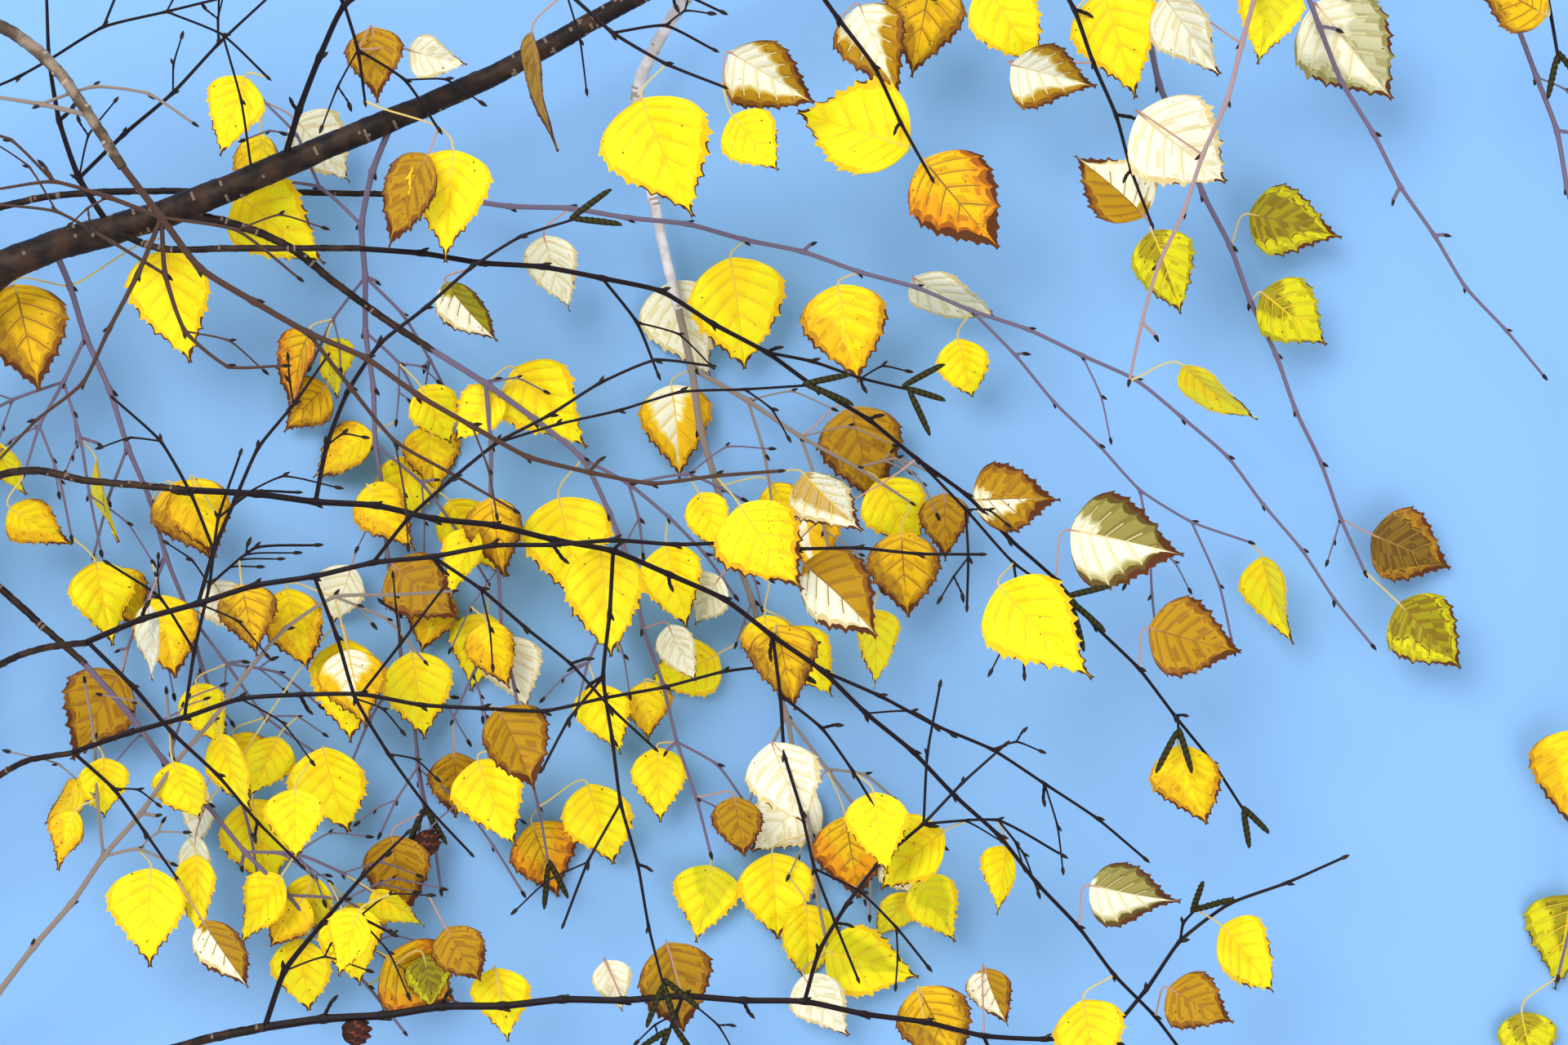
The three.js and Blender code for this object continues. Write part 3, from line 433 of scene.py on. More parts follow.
class Tint(Enum):
    """The colourings that leaves are dealt."""

    BRIGHT = LeafColours(Tone.BRIGHT, Tone.LEMON, (0.75, 0.6), VEIN_GOLD, 0.1, 3)
    GOLD = LeafColours(Tone.BRIGHT, Tone.GOLD, (0.3, 0.6), VEIN_GOLD, 0.22, 5, mottle=0.16)
    DEEP = LeafColours(Tone.GOLD, Tone.AMBER, (0.25, 0.5), VEIN_BROWN, 0.28, 6, mottle=0.22)
    AMBER = LeafColours(Tone.AMBER, Tone.GOLD, (0.0, 0.0), VEIN_BROWN, 0.42, 9, STALK_PINK, 0.2)
    UMBER = LeafColours(Tone.UMBER, Tone.AMBER, (0.2, 0.1), VEIN_BROWN, 0.4, 8, STALK_PINK, 0.5)
    CREAM = LeafColours(Tone.CREAM, Tone.CREAM, (0.0, 0.0), VEIN_TAN, 0.06, 1, STALK_PINK, 0.18)
    SAGE = LeafColours(Tone.CREAM, Tone.SAGE, (0.9, 0.35), VEIN_TAN, 0.2, 3, STALK_PINK, 0.2)
    OLIVE = LeafColours(Tone.OLIVE, Tone.LIME, (0.15, 0.35), VEIN_BROWN, 0.3, 8, mottle=0.4)
    GREENING = LeafColours(Tone.OLIVE, Tone.LIME, (0.8, 0.6), VEIN_GOLD, 0.12, 3, mottle=0.15)
    LIME = LeafColours(Tone.LIME, Tone.LEMON, (0.3, 0.6), VEIN_GOLD, 0.08, 2)
    ORANGE = LeafColours(Tone.GOLD, Tone.ORANGE, (0.7, 0.5), VEIN_BROWN, 0.35, 5, mottle=0.2)
    # Where cream meets a darker tone on one leaf, the cream part is painted light and the darker part is
    # partly painted shade.
    CREAM_AMBER = LeafColours(Tone.CREAM, Tone.AMBER, (0.5, 0.35), VEIN_TAN, 0.3, 4, STALK_PINK)
    AMBER_CREAM = LeafColours(Tone.AMBER, Tone.CREAM, (0.0, 1.4), VEIN_BROWN, 0.35, 6, STALK_PINK)
    OLIVE_CREAM = LeafColours(Tone.OLIVE, Tone.CREAM, (0.0, 1.2), VEIN_BROWN, 0.3, 5, STALK_PINK)
    GOLD_CREAM = LeafColours(Tone.CREAM, Tone.GOLD, (0.8, 0.35), VEIN_GOLD, 0.15, 3)
    TURNED = LeafColours(Tone.CREAM, Tone.MOSS, (1.2, 0.15), VEIN_TAN, 0.5, 4, STALK_PINK)
    SPOTTED = LeafColours(Tone.LEMON, Tone.BRIGHT, (0.5, 0.35), VEIN_GOLD, 0.25, 90)
    RUSTY = LeafColours(Tone.TAN, Tone.CREAM, (1.4, 0.4), VEIN_GOLD, 0.25, 70)
    RUSTY_AMBER = LeafColours(Tone.CREAM, Tone.AMBER, (1.1, 0.6), VEIN_BROWN, 0.7, 14, mottle=0.3)
    BURNT = LeafColours(Tone.GOLD, Tone.ORANGE, (0.35, 0.6), VEIN_BROWN, 0.6, 14, mottle=0.3)


# What the rule's own leaves are dealt, by share
SUNNY = (
    (Tint.BRIGHT, 0.52), (Tint.GOLD, 0.19), (Tint.DEEP, 0.06), (Tint.AMBER, 0.06),
    (Tint.CREAM, 0.09), (Tint.GOLD_CREAM, 0.03), (Tint.LIME, 0.03), (Tint.ORANGE, 0.02),
)


# Growth: the seeded rule of the part's source


@dataclass(frozen=True)
class Rule:
    """Sizes of the rule that the branch grows by, in millimetres, degrees and shares."""

    eye_height: float = 1300.0
    focus_height: float = 90.0
    middle: Pair = (-32.1, 3.8)
    ground_gap: float = 1.2
    clearance: float = 1.4
    bough_step: float = 25.0
    bud_step: float = 25.0
    zigzag: float = 0.7
    own_room: float = 7.0
    tries: int = 12
    root_share: float = 0.5
    stalk: Pair = (9.0, 16.0)
    catkin_length: float = 19.0
    catkin_radius: float = 1.5
    catkin_splay: float = 24.0
    catkin_droop: float = 0.35
    catkin_apart: float = 1.3
    side_twig: Pair = (30.0, 78.0)
    side_angle: float = 42.0
    side_root: float = 0.8
    side_tip: float = 0.55
    side_fall: float = 0.55
    side_sink: float = 0.12
    blade: Pair = (31.0, 45.0)
    hang: float = -90.0
    swing: Pair = (-65.0, 65.0)
    stalk_slope: Pair = (-0.5, 0.4)
    aim: Pair = (-25.0, 25.0)
    blade_slope: Pair = (-0.5, 0.2)
    roll: Pair = (-45.0, 45.0)
    fold: float = 0.16
    curl: float = 0.1
    lane_radius: float = 0.06
    lanes: tuple[Triple, ...] = (
        (0, 0.1, 1), (0.17, 0.12, 0.72), (-0.17, 0.12, 0.72), (0.33, 0.16, 0.48), (-0.33, 0.16, 0.48),
    )


RULE = Rule()
# The finer round that only this script grows: short thin twigs and small leaves in what room is left
FINE = replace(
    RULE, side_twig=(16.0, 44.0), side_root=0.5, side_tip=0.35, clearance=0.5, blade=(25.0, 37.0), tries=30
)


@dataclass(frozen=True)
class LimbPlan:
    """A limb: its parent, its route as (x, y, height), its radius at root and tip, and its bark."""

    name: str
    parent: str | None
    via: tuple[Triple, ...]
    thick: Pair
    at_tip: bool = False
    bark: Bark = Bark.DARK
    finish: BarkFinish = DARK_BARK


LIMBS = (
    LimbPlan(
        "main_stem", None,
        ((-383, -258, 11.9), (-368, -170, 25), (-358, -70, 42), (-356, 13, 60), (-347, 62, 72)), (12, 7.8),
    ),
    LimbPlan(
        "upper_limb", "main_stem",
        (
            (-320, 103, 77), (-253, 126, 73), (-195, 150, 69), (-120, 182, 67), (-63, 213, 66),
            (-3, 242, 62), (63, 263, 58),
        ),
        (7.2, 2.3), at_tip=True,
    ),
    LimbPlan(
        "top_bough", "upper_limb",
        ((140, 276, 60), (220, 275, 68), (285, 254, 76)), (2.1, 1.3), at_tip=True,
    ),
    LimbPlan(
        "over_bough", "main_stem",
        ((-353, 40, 68), (-374, 95, 92), (-374, 150, 108), (-360, 190, 116)), (3.9, 3.2),
        bark=Bark.PALE, finish=WORN_BARK,
    ),
    LimbPlan(
        "over_crest", "over_bough",
        ((-336, 208, 118), (-300, 188, 119), (-270, 145, 119)), (3.1, 2), at_tip=True, bark=Bark.PALE,
        finish=WORN_BARK,
    ),
    LimbPlan(
        "arch_bough", "main_stem",
        ((-357, 0, 58), (-320, 20, 74), (-283, 17, 84), (-240, 13, 89)), (1.8, 1.4),
    ),
    LimbPlan(
        "middle_bough", "main_stem",
        ((-359, -90, 40), (-320, -58, 70), (-284, -49, 92)), (1.7, 1.35),
    ),
    LimbPlan(
        "slant_bough", "main_stem",
        ((-357, -40, 50), (-338, -12, 48), (-320, -27, 46), (-285, -58, 44)), (1.8, 1.4),
    ),
    LimbPlan(
        "low_bough", "main_stem",
        ((-364, -140, 32), (-320, -103, 60), (-290, -94, 70)), (1.5, 1.2),
    ),
    LimbPlan(
        "grey_bough", "main_stem",
        ((-372, -215, 20), (-345, -207, 38), (-320, -192, 52)), (1.7, 1.4),
        bark=Bark.PALE, finish=PALE_BARK,
    ),
    LimbPlan(
        "foot_bough", "main_stem",
        ((-381, -250, 14), (-340, -243, 30), (-300, -232, 44), (-243, -213, 56), (-212, -206, 60)),
        (2.4, 1.9),
    ),
    LimbPlan(
        "reach_bough", "upper_limb",
        ((-285, 115, 75), (-255, 112, 86), (-220, 112, 86), (-173, 112, 86)), (1.5, 1.25),
    ),
    LimbPlan(
        "inner_bough", "upper_limb",
        ((-240, 131, 72), (-210, 117, 60), (-173, 90, 50), (-143, 70, 46)), (1.9, 1.45),
    ),
    LimbPlan(
        "far_bough", "upper_limb",
        ((-338, 84, 75), (-332, 122, 52), (-290, 134, 42), (-223, 135, 38), (-160, 134, 36)), (1.6, 1.25),
    ),
    LimbPlan(
        "pale_bough", "upper_limb",
        ((-20, 234, 63), (-44, 208, 44), (-60, 175, 28), (-53, 130, 22), (-43, 87, 18)), (2.9, 2.1),
        bark=Bark.PALE, finish=WHITE_BARK,
    ),
)


class Stream(Enum):
    """What a stream of draws is for, and what is added to the spray's seed to start it."""

    RULE = 0
    TINTS = 500
    FINER = 1000
    TWIGS = 2000
    BLADES = 3000


@dataclass(frozen=True)
class SprayPlan:
    """A spray: its stem's route, the shoots led from it, its listed leaves, and what the rule deals.

    A led shoot starts at the bud nearest to its first point. A listed leaf is x, y, its direction,
    length, roll and tint. Catkins are which shoot, and how many. A seed cone is x, y and its direction. Extra
    leaves and fine twigs are those of the finer round.
    """

    name: str
    limb: str
    seed: int
    via: tuple[Triple, ...]
    thick: Pair
    led: tuple[tuple[tuple[float, ...], ...], ...] = ()
    placed: tuple[tuple[float, float, float, float, float, Tint], ...] = ()
    twigs: int = 0
    leaves: int = 0
    catkins: tuple[tuple[int, int], ...] = ()
    at_tip: bool = False
    tone: TwigTone = TwigTone.DARK
    cones: tuple[Triple, ...] = ()
    extra: int = 0
    fine: int = 0

    def stream(self, use: Stream, number: int = 0) -> Draws:
        """The stream of draws for this use, or for this leaf by its number."""
        return Draws(self.seed + use.value + 17 * number)


SPRAYS = (
    SprayPlan(
        "arch_spray", "arch_bough", 11,
        ((-153, 4, 92), (-37, -25, 94), (67, -108, 94), (142, -192, 88), (180, -236, 74)), (1.4, 0.65),
        led=(
            ((12, -56), (97, -100, 101), (147, -137, 100)), ((-82, -15), (-72, -80, 102), (-49, -190, 98)),
            ((-8, -48), (2, -100, 96), (20, -163, 92), (30, -186, 92)),
            ((-200, 12), (-173, 63, 104), (-107, 118, 114), (-85, 124, 114)),
        ),
        placed=(
            (125, -148, -14, 38, 25, Tint.TURNED), (157, -190, -31, 30, 0, Tint.AMBER),
            (122, -195, -78, 37, -10, Tint.BRIGHT), (-138, 98, -55, 32, 45, Tint.OLIVE_CREAM),
            (-75, -10, -85, 46, -15, Tint.BRIGHT), (-5, -90, -70, 36, 15, Tint.CREAM),
            (-3, -42, -78, 36, 15, Tint.DEEP),
        ),
        twigs=4, leaves=1, catkins=((2, 3), (4, 2)), at_tip=True, fine=6,
    ),
    SprayPlan(
        "middle_spray", "middle_bough", 23,
        ((-238, -32, 98), (-167, -17, 103), (-80, -8, 106), (80, -13, 107)), (1.3, 0.6),
        led=(
            ((-238, -32), (-220, 20, 106), (-187, 67, 113)),
            ((-167, -17), (-130, 23, 114), (-53, 67, 119), (-30, 64, 117)),
            ((-277, -47), (-240, -95, 92), (-197, -140, 91)),
            ((-200, -26), (-167, -87, 106), (-128, -135, 104)),
            ((-133, -13), (-102, -45, 110), (-53, -92, 114)),
            ((-125, 28), (-90, 40, 118), (-40, 53, 121), (10, 56, 119)),
        ),
        twigs=1, catkins=((6, 2),), at_tip=True, fine=8,
    ),
    SprayPlan(
        "low_spray", "low_bough", 31,
        ((-205, -70, 82), (-107, -77, 83), (-33, -63, 79), (0, -58, 75)), (1.15, 0.6),
        led=(
            ((-285, -93), (-267, -117, 72), (-248, -145, 72)),
            ((-167, -67), (-156, -50, 88), (-140, -28, 90)), ((-243, -77), (-229, 8, 82), (-222, 28, 80)),
        ),
        placed=(
            (-233, -24, -60, 30, 25, Tint.CREAM), (-242, 18, -75, 34, -10, Tint.GOLD),
            (-237, -163, -60, 34, 30, Tint.AMBER_CREAM), (-117, -76, -60, 36, -30, Tint.AMBER),
        ),
        twigs=3, catkins=((0, 2),), at_tip=True, extra=3, fine=8,
    ),
    SprayPlan(
        "slant_spray", "slant_bough", 47,
        ((-243, -108, 42), (-190, -167, 36), (-155, -208, 26)), (1.35, 0.65),
        placed=(
            (-178, -48, -90, 44, 20, Tint.BRIGHT), (-240, -128, -95, 32, 50, Tint.CREAM),
            (-198, -170, -85, 34, 10, Tint.BRIGHT), (-147, -177, -80, 26, -15, Tint.OLIVE),
        ),
        twigs=3, leaves=1, at_tip=True, tone=TwigTone.MAUVE, extra=8, fine=8,
    ),
    SprayPlan(
        "grey_spray", "grey_bough", 53,
        ((-272, -130, 60), (-220, -63, 64), (-190, -33, 66), (-135, -28, 66)), (1.35, 0.65),
        placed=((-203, -27, -80, 36, 15, Tint.GOLD), (-178, -52, -80, 36, 10, Tint.GOLD_CREAM)), twigs=4,
        leaves=1, at_tip=True, tone=TwigTone.PALE, extra=5, fine=6,
    ),
    SprayPlan(
        "foot_spray", "foot_bough", 64,
        ((-120, -197, 66), (-5, -195, 72), (122, -211, 74), (167, -165, 78), (228, -137, 80)), (1.85, 0.6),
        led=(
            ((-207, -205), (-197, -173, 68), (-154, -127, 78)), ((-3, -195), (27, -153, 82), (90, -91, 84)),
            ((163, -168), (164, -163, 81), (168, -158, 84)),
            ((-45, -197), (-46, -203, 66), (-47, -208, 64)),
        ),
        placed=(
            (55, -190, -65, 38, 10, Tint.DEEP), (-48, -172, -78, 42, -20, Tint.AMBER),
            (-118, -182, -80, 33, 15, Tint.BRIGHT), (82, -182, -75, 26, 30, Tint.AMBER_CREAM),
            (-73, -179, -70, 22, -20, Tint.CREAM),
        ),
        twigs=3, leaves=1, catkins=((3, 2), (4, 3)), at_tip=True, cones=((-174, -203, -95),), extra=4,
        fine=8,
    ),
    SprayPlan(
        "over_spray", "over_crest", 71,
        ((-233, 100, 119), (-170, 66, 122), (-115, 32, 124), (-62, 17, 124), (-2, 21, 123)), (1.5, 0.7),
        led=(
            ((-257, 124), (-254, 103, 112), (-235, 66, 108), (-204, 64, 112)),
            ((-200, 81), (-160, 35, 112), (-110, 5, 103)),
            ((-257, 124), (-290, 138, 116), (-322, 136, 116)),
            ((-245, 112), (-283, 63, 108), (-303, 43, 104), (-322, 24, 100)),
            ((-243, 110), (-290, 124, 112), (-322, 130, 110)),
        ),
        placed=((-18, 7, -58, 43, 5, Tint.SPOTTED), (8, 20, -47, 34, 40, Tint.RUSTY)), twigs=2, at_tip=True,
        tone=TwigTone.BROWN, fine=6,
    ),
    SprayPlan(
        "reach_spray", "reach_bough", 83,
        ((-87, 102, 87), (-43, 90, 86), (63, 20, 88), (147, -63, 89), (188, -118, 80)), (1.2, 0.6),
        led=(
            ((63, 20), (92, -14, 97), (118, -33, 99)), ((-15, 74), (8, 66, 95), (52, 54, 98)),
            ((156, -74), (160, -79, 95), (161, -86, 95)),
        ),
        placed=(
            (88, -26, -49, 52, 10, Tint.BRIGHT), (77, 9, 4, 39, -20, Tint.RUSTY_AMBER),
            (117, -3, -11, 47, 15, Tint.TURNED), (149, -43, -17, 40, -15, Tint.AMBER),
            (161, -91, -72, 37, 20, Tint.GOLD), (8, -17, -38, 42, -30, Tint.AMBER_CREAM),
        ),
        twigs=3, catkins=((1, 3), (2, 3), (3, 2), (0, 2)), at_tip=True, fine=5,
    ),
    SprayPlan(
        "inner_spray", "inner_bough", 97,
        ((-80, 22, 40), (-52, -60, 30), (-30, -135, 16)), (1.4, 0.6),
        led=(
            ((-120, 53), (-115, -40, 32), (-96, -140, 18)), ((-80, 22), (-48, 4, 34), (-20, -30, 28)),
        ),
        placed=(
            (-110, 63, -48, 46, 10, Tint.BRIGHT), (-92, 10, -75, 48, -10, Tint.BRIGHT),
            (-103, -123, -70, 36, -25, Tint.ORANGE), (-120, 10, -80, 34, 25, Tint.DEEP),
            (-48, -9, -75, 36, 20, Tint.BRIGHT), (-47, -42, -70, 26, 30, Tint.CREAM),
            (-57, -65, -85, 28, -10, Tint.GOLD), (-115, -47, -70, 34, 15, Tint.CREAM),
            (-125, -97, -70, 40, 10, Tint.BRIGHT), (-52, -92, -85, 32, -15, Tint.BRIGHT),
            (-80, -107, -75, 40, 15, Tint.BRIGHT), (-20, -112, -85, 28, 10, Tint.AMBER),
            (-30, -140, -100, 34, -10, Tint.LIME),
        ),
        twigs=7, leaves=2, catkins=((1, 2),), at_tip=True, tone=TwigTone.MAUVE, extra=8, fine=10,
    ),
    SprayPlan(
        "far_spray", "far_bough", 101,
        ((-33, 120, 38), (90, 82, 42), (167, 40, 42), (240, -50, 38)), (1.2, 0.6),
        led=(((90, 82), (150, 10, 30), (190, -8, 28)),),
        placed=(
            (195, -14, -80, 39, 60, Tint.BRIGHT), (53, 100, -30, 42, 55, Tint.CREAM),
            (22, 97, -80, 42, 10, Tint.GOLD), (-22, 108, -80, 50, -10, Tint.BRIGHT),
            (71, 75, -75, 28, 20, Tint.BRIGHT), (-98, 117, -75, 34, 30, Tint.CREAM),
        ),
        twigs=2, at_tip=True, tone=TwigTone.MAUVE, fine=3,
    ),
    SprayPlan(
        "left_spray", "upper_limb", 107,
        ((-296, 110, 74), (-286, 80, 44), (-258, 5, 26), (-226, -95, 16), (-214, -150, 14)), (1.4, 0.6),
        led=(
            ((-286, 80), (-301, 45, 40), (-310, 20, 38)), ((-245, -40), (-215, -75, 20), (-190, -95, 18)),
        ),
        placed=(
            (-252, 112, -84, 48, 10, Tint.BRIGHT), (-314, 97, -75, 44, -15, Tint.DEEP),
            (-250, 16, -62, 37, 0, Tint.DEEP), (-316, 6, -38, 30, 20, Tint.GOLD),
            (-240, -66, -70, 30, 15, Tint.BRIGHT), (-225, -87, -60, 28, -20, Tint.GOLD),
            (-188, -92, -80, 40, 10, Tint.BRIGHT), (-217, -113, -80, 40, -15, Tint.BRIGHT),
        ),
        twigs=7, leaves=3, tone=TwigTone.MAUVE, extra=8, fine=12,
    ),
    SprayPlan(
        "hanging_spray", "upper_limb", 113,
        ((-168, 162, 68), (-171, 133, 56), (-170, 75, 28), (-158, -40, 14), (-140, -150, 12)), (1.4, 0.6),
        led=(
            ((-171, 133), (-190, 138, 47), (-212, 140, 44)),
            ((-158, -80), (-150, -105, 16), (-147, -118, 15)),
        ),
        placed=(
            (-223, 134, -40, 46, 20, Tint.BRIGHT), (-170, 15, -60, 34, 20, Tint.GOLD),
            (-160, -17, -40, 38, -10, Tint.AMBER), (-152, -53, -80, 38, -10, Tint.BRIGHT),
            (-160, -128, -80, 36, 15, Tint.AMBER),
        ),
        twigs=8, leaves=4, catkins=((2, 2),), tone=TwigTone.MAUVE, cones=((-147, -126, -75),), extra=9,
        fine=12,
    ),
    SprayPlan(
        "pale_spray", "pale_bough", 127,
        ((-28, 15, 15), (2, -85, 12), (18, -175, 11)), (1.7, 0.7),
        led=(((-37, 58), (0, 40, 20), (52, 8, 30)), ((2, -85), (28, -115, 14), (55, -140, 12))),
        placed=(
            (-47, 98, -70, 46, 55, Tint.CREAM), (27, 47, -75, 46, 5, Tint.AMBER),
            (-46, 56, -80, 40, -10, Tint.GOLD_CREAM), (-5, 16, -60, 26, 20, Tint.GOLD),
            (-5, -135, -85, 38, -10, Tint.BRIGHT), (25, -120, -80, 38, 15, Tint.ORANGE),
            (43, -135, -55, 26, 30, Tint.CREAM), (55, -145, -60, 32, -15, Tint.LIME),
            (17, -175, -15, 42, 10, Tint.LIME), (8, -185, -60, 32, 25, Tint.CREAM),
        ),
        twigs=7, leaves=3, at_tip=True, tone=TwigTone.PALE, extra=7, fine=9,
    ),
    SprayPlan(
        "crown_spray", "upper_limb", 131,
        ((-197, 150, 70), (-177, 213, 98), (-115, 229, 110), (-55, 190, 112), (-25, 178, 111)), (1.4, 0.6),
        led=(((-177, 213), (-174, 190, 104), (-171, 172, 104)),),
        placed=(
            (-58, 173, -70, 51, 10, Tint.BRIGHT), (-21, 166, -48, 29, 5, Tint.BRIGHT),
            (-22, 192, -29, 41, 35, Tint.CREAM_AMBER), (-103, 200, -88, 48, 72, Tint.AMBER),
            (-135, 152, -95, 44, 5, Tint.BRIGHT), (-168, 202, -85, 30, 15, Tint.AMBER),
            (-153, 193, -20, 24, 30, Tint.CREAM),
        ),
        twigs=3, leaves=1, fine=4,
    ),
    SprayPlan(
        "mid_top_spray", "upper_limb", 137,
        ((0, 243, 62), (30, 196, 84), (60, 141, 90)), (1.2, 0.6),
        led=(((16, 222), (40, 218, 58), (60, 214, 54)),),
        placed=(
            (51, 153, 160, 52, 10, Tint.BRIGHT), (57, 148, -51, 47, 0, Tint.BURNT),
            (31, 211, -68, 41, 20, Tint.CREAM_AMBER), (60, 222, -100, 42, 10, Tint.DEEP),
        ),
        twigs=1, fine=1,
    ),
    SprayPlan(
        "right_top_spray", "top_bough", 139,
        ((96, 270, 59), (122, 200, 74), (150, 122, 72)), (1.2, 0.6),
        placed=(
            (82, 220, -58, 40, 10, Tint.BRIGHT), (93, 187, -13, 38, 40, Tint.CREAM_AMBER),
            (130, 217, -69, 46, 15, Tint.BRIGHT), (147, 125, 132, 40, 10, Tint.AMBER_CREAM),
            (150, 119, -65, 36, -15, Tint.GREENING),
        ),
    ),
    SprayPlan(
        "near_spray", "top_bough", 149,
        ((196, 276, 66), (190, 205, 96), (148, 90, 99), (141, 58, 96)), (1.3, 0.65),
        placed=(
            (155, 215, -55, 39, 55, Tint.CREAM), (145, 167, -40, 46, 10, Tint.CREAM),
            (163, 64, -45, 37, 68, Tint.BRIGHT), (200, 221, -98, 34, 0, Tint.LIME),
        ),
        tone=TwigTone.ROSY,
    ),
    SprayPlan(
        "right_spray", "top_bough", 151,
        ((215, 275, 68), (215, 210, 52), (268, 112, 48), (310, 60, 44)), (1.3, 0.6),
        placed=((217, 212, -52, 52, 15, Tint.SAGE),), tone=TwigTone.MAUVE,
    ),
    SprayPlan(
        "back_spray", "top_bough", 157,
        ((128, 276, 60), (152, 185, 32), (190, 93, 26), (237, -20, 20)), (1.6, 0.7),
        placed=(
            (190, 126, -12, 41, 10, Tint.OLIVE), (195, 94, -38, 37, -10, Tint.GREENING),
            (240, -5, -22, 39, 0, Tint.UMBER), (251, -33, -45, 38, 15, Tint.OLIVE),
        ),
        tone=TwigTone.MAUVE, fine=1,
    ),
    SprayPlan(
        "corner_spray", "top_bough", 163,
        ((303, 236, 80), (313, 212, 82), (316, 190, 82)), (1.1, 0.7),
        placed=((311, 207, 152, 38, 20, Tint.DEEP),), catkins=((0, 2),), at_tip=True,
    ),
    SprayPlan(
        "edge_spray", "top_bough", 167,
        ((268, 262, 74), (312, 170, 46), (335, 20, 28), (325, -130, 15), (316, -185, 12)), (1.2, 0.65),
        placed=(
            (322, -85, -95, 42, 35, Tint.GOLD), (321, -152, -100, 42, 40, Tint.GREENING),
            (301, -200, -80, 30, 10, Tint.GREENING),
        ),
        tone=TwigTone.MAUVE, fine=1,
    ),
    SprayPlan(
        "brow_spray", "upper_limb", 173,
        ((-285, 126, 75), (-293, 152, 84), (-298, 175, 88), (-301, 214, 92)), (1.4, 0.65),
        led=(
            ((-290, 141), (-253, 173, 92), (-211, 214, 94)),
            ((-299, 188), (-272, 204, 95), (-226, 215, 97)),
            ((-299, 188), (-312, 183, 92), (-324, 177, 90)),
            ((-241, 206), (-225, 196, 99), (-211, 182, 100)),
        ),
        placed=((-220, 182, -110, 34, 20, Tint.BRIGHT),), twigs=2, fine=5,
    ),
    SprayPlan(
        "crest_spray", "over_crest", 179,
        ((-282, 165, 119), (-300, 171, 121), (-323, 174, 120)), (1.1, 0.7),
        led=(((-303, 171), (-284, 177, 113), (-262, 177, 114), (-241, 163, 116)),), tone=TwigTone.PALE,
        fine=1,
    ),
)


@dataclass
class Shoot:
    """A limb, twig or catkin: its points and its radius at each."""

    points: Array
    radii: Array

    def run_at(self, i: int) -> Array:
        """The direction in which the shoot runs at one of its points."""
        after = self.points[min(i + 1, len(self.points) - 1)]
        return unit(after - self.points[max(i - 1, 0)])

    def rods(self) -> Array:
        """Rods from point to point: both ends and the radius, seven numbers a row."""
        return np.hstack([self.points[:-1], self.points[1:], self.radii[:-1, None]])


@dataclass
class Leaf:
    """A leaf: the bud that it hangs from, the base of its blade, and the blade's axes and length."""

    node: Array
    base: Array
    axis: Array
    side: Array
    normal: Array
    length: float
    tint: Tint | None = None

    def rods(self, rule: Rule) -> Array:
        """Rods along the blade's lanes, which stand for it when clearances are measured."""

        def point(along: float, aside: float) -> Array:
            lift = abs(aside) * rule.fold - rule.curl * along * along
            return self.base + self.length * (along * self.axis + aside * self.side + lift * self.normal)

        radius = rule.lane_radius * self.length
        lanes = [(*point(start, aside), *point(end, aside), radius) for aside, start, end in rule.lanes]
        return np.array(lanes)


def seen(place: tuple[float, ...]) -> Array:
    """The point at this height that the eye sees over plan point x, y."""
    x, y, height = place
    spread = (RULE.eye_height - height) / (RULE.eye_height - RULE.focus_height)
    return np.array([x * spread - RULE.middle[0], y * spread - RULE.middle[1], height])


def through(guides: Array, per_span: int) -> Array:
    """A smooth curve through the guides.

    Args:
        guides: Points that the curve passes through.
        per_span: Steps from one guide to the next.

    Returns:
        The points of the curve.
    """
    ends = np.vstack([2 * guides[0] - guides[1], guides, 2 * guides[-1] - guides[-2]])
    share = (np.arange(per_span) / per_span)[:, None]
    spans = []
    for before, here, there, after in zip(ends, ends[1:], ends[2:], ends[3:]):
        leave, arrive = (there - before) / 2, (after - here) / 2
        square = 3 * (there - here) - 2 * leave - arrive
        cube = 2 * (here - there) + leave + arrive
        spans.append(here + share * (leave + share * (square + share * cube)))
    return np.vstack([*spans, guides[-1]])


def along_path(path: Array) -> Array:
    """How far each point of a path is from its start, measured along it."""
    steps = np.sqrt(((path[1:] - path[:-1]) ** 2).sum(axis=1))
    return np.concatenate([[0.0], np.cumsum(steps)])


def resampled(path: Array, reached: Array, targets: Array) -> Array:
    """The points of a path at these distances from its start."""
    return np.stack([np.interp(targets, reached, path[:, k]) for k in range(3)], axis=1)


def make_shoot(guides: list[Array], thick: Pair, step: float, bend: float) -> Shoot:
    """A shoot with points at even steps along a smooth curve through its guides.

    Args:
        guides: Points that it passes through.
        thick: Its radius at root and tip.
        step: The distance between its points, about.
        bend: How far it is bent aside at each bud.

    Returns:
        The shoot.
    """
    fine = through(np.array(guides), 16)
    reached = along_path(fine)
    count = max(2, math.floor(reached[-1] / step + 0.5))
    targets = reached[-1] * np.arange(count + 1) / count
    points = resampled(fine, reached, targets)
    points[0], points[-1] = fine[0], fine[-1]
    straight = points.copy()
    for i in range(1, count):
        along = straight[i + 1] - straight[i - 1]
        aside = unit(np.array([-along[1], along[0], 0.0]))
        points[i] += aside * (bend if i % 2 else -bend)
    return Shoot(points, between(thick[0], thick[1], np.arange(count + 1) / count))


def rooted(shoot: Shoot) -> Shoot:
    """The shoot with its first ring narrowed, so that it starts inside the twig that it grows from."""
    shoot.radii[0] *= RULE.root_share
    return shoot


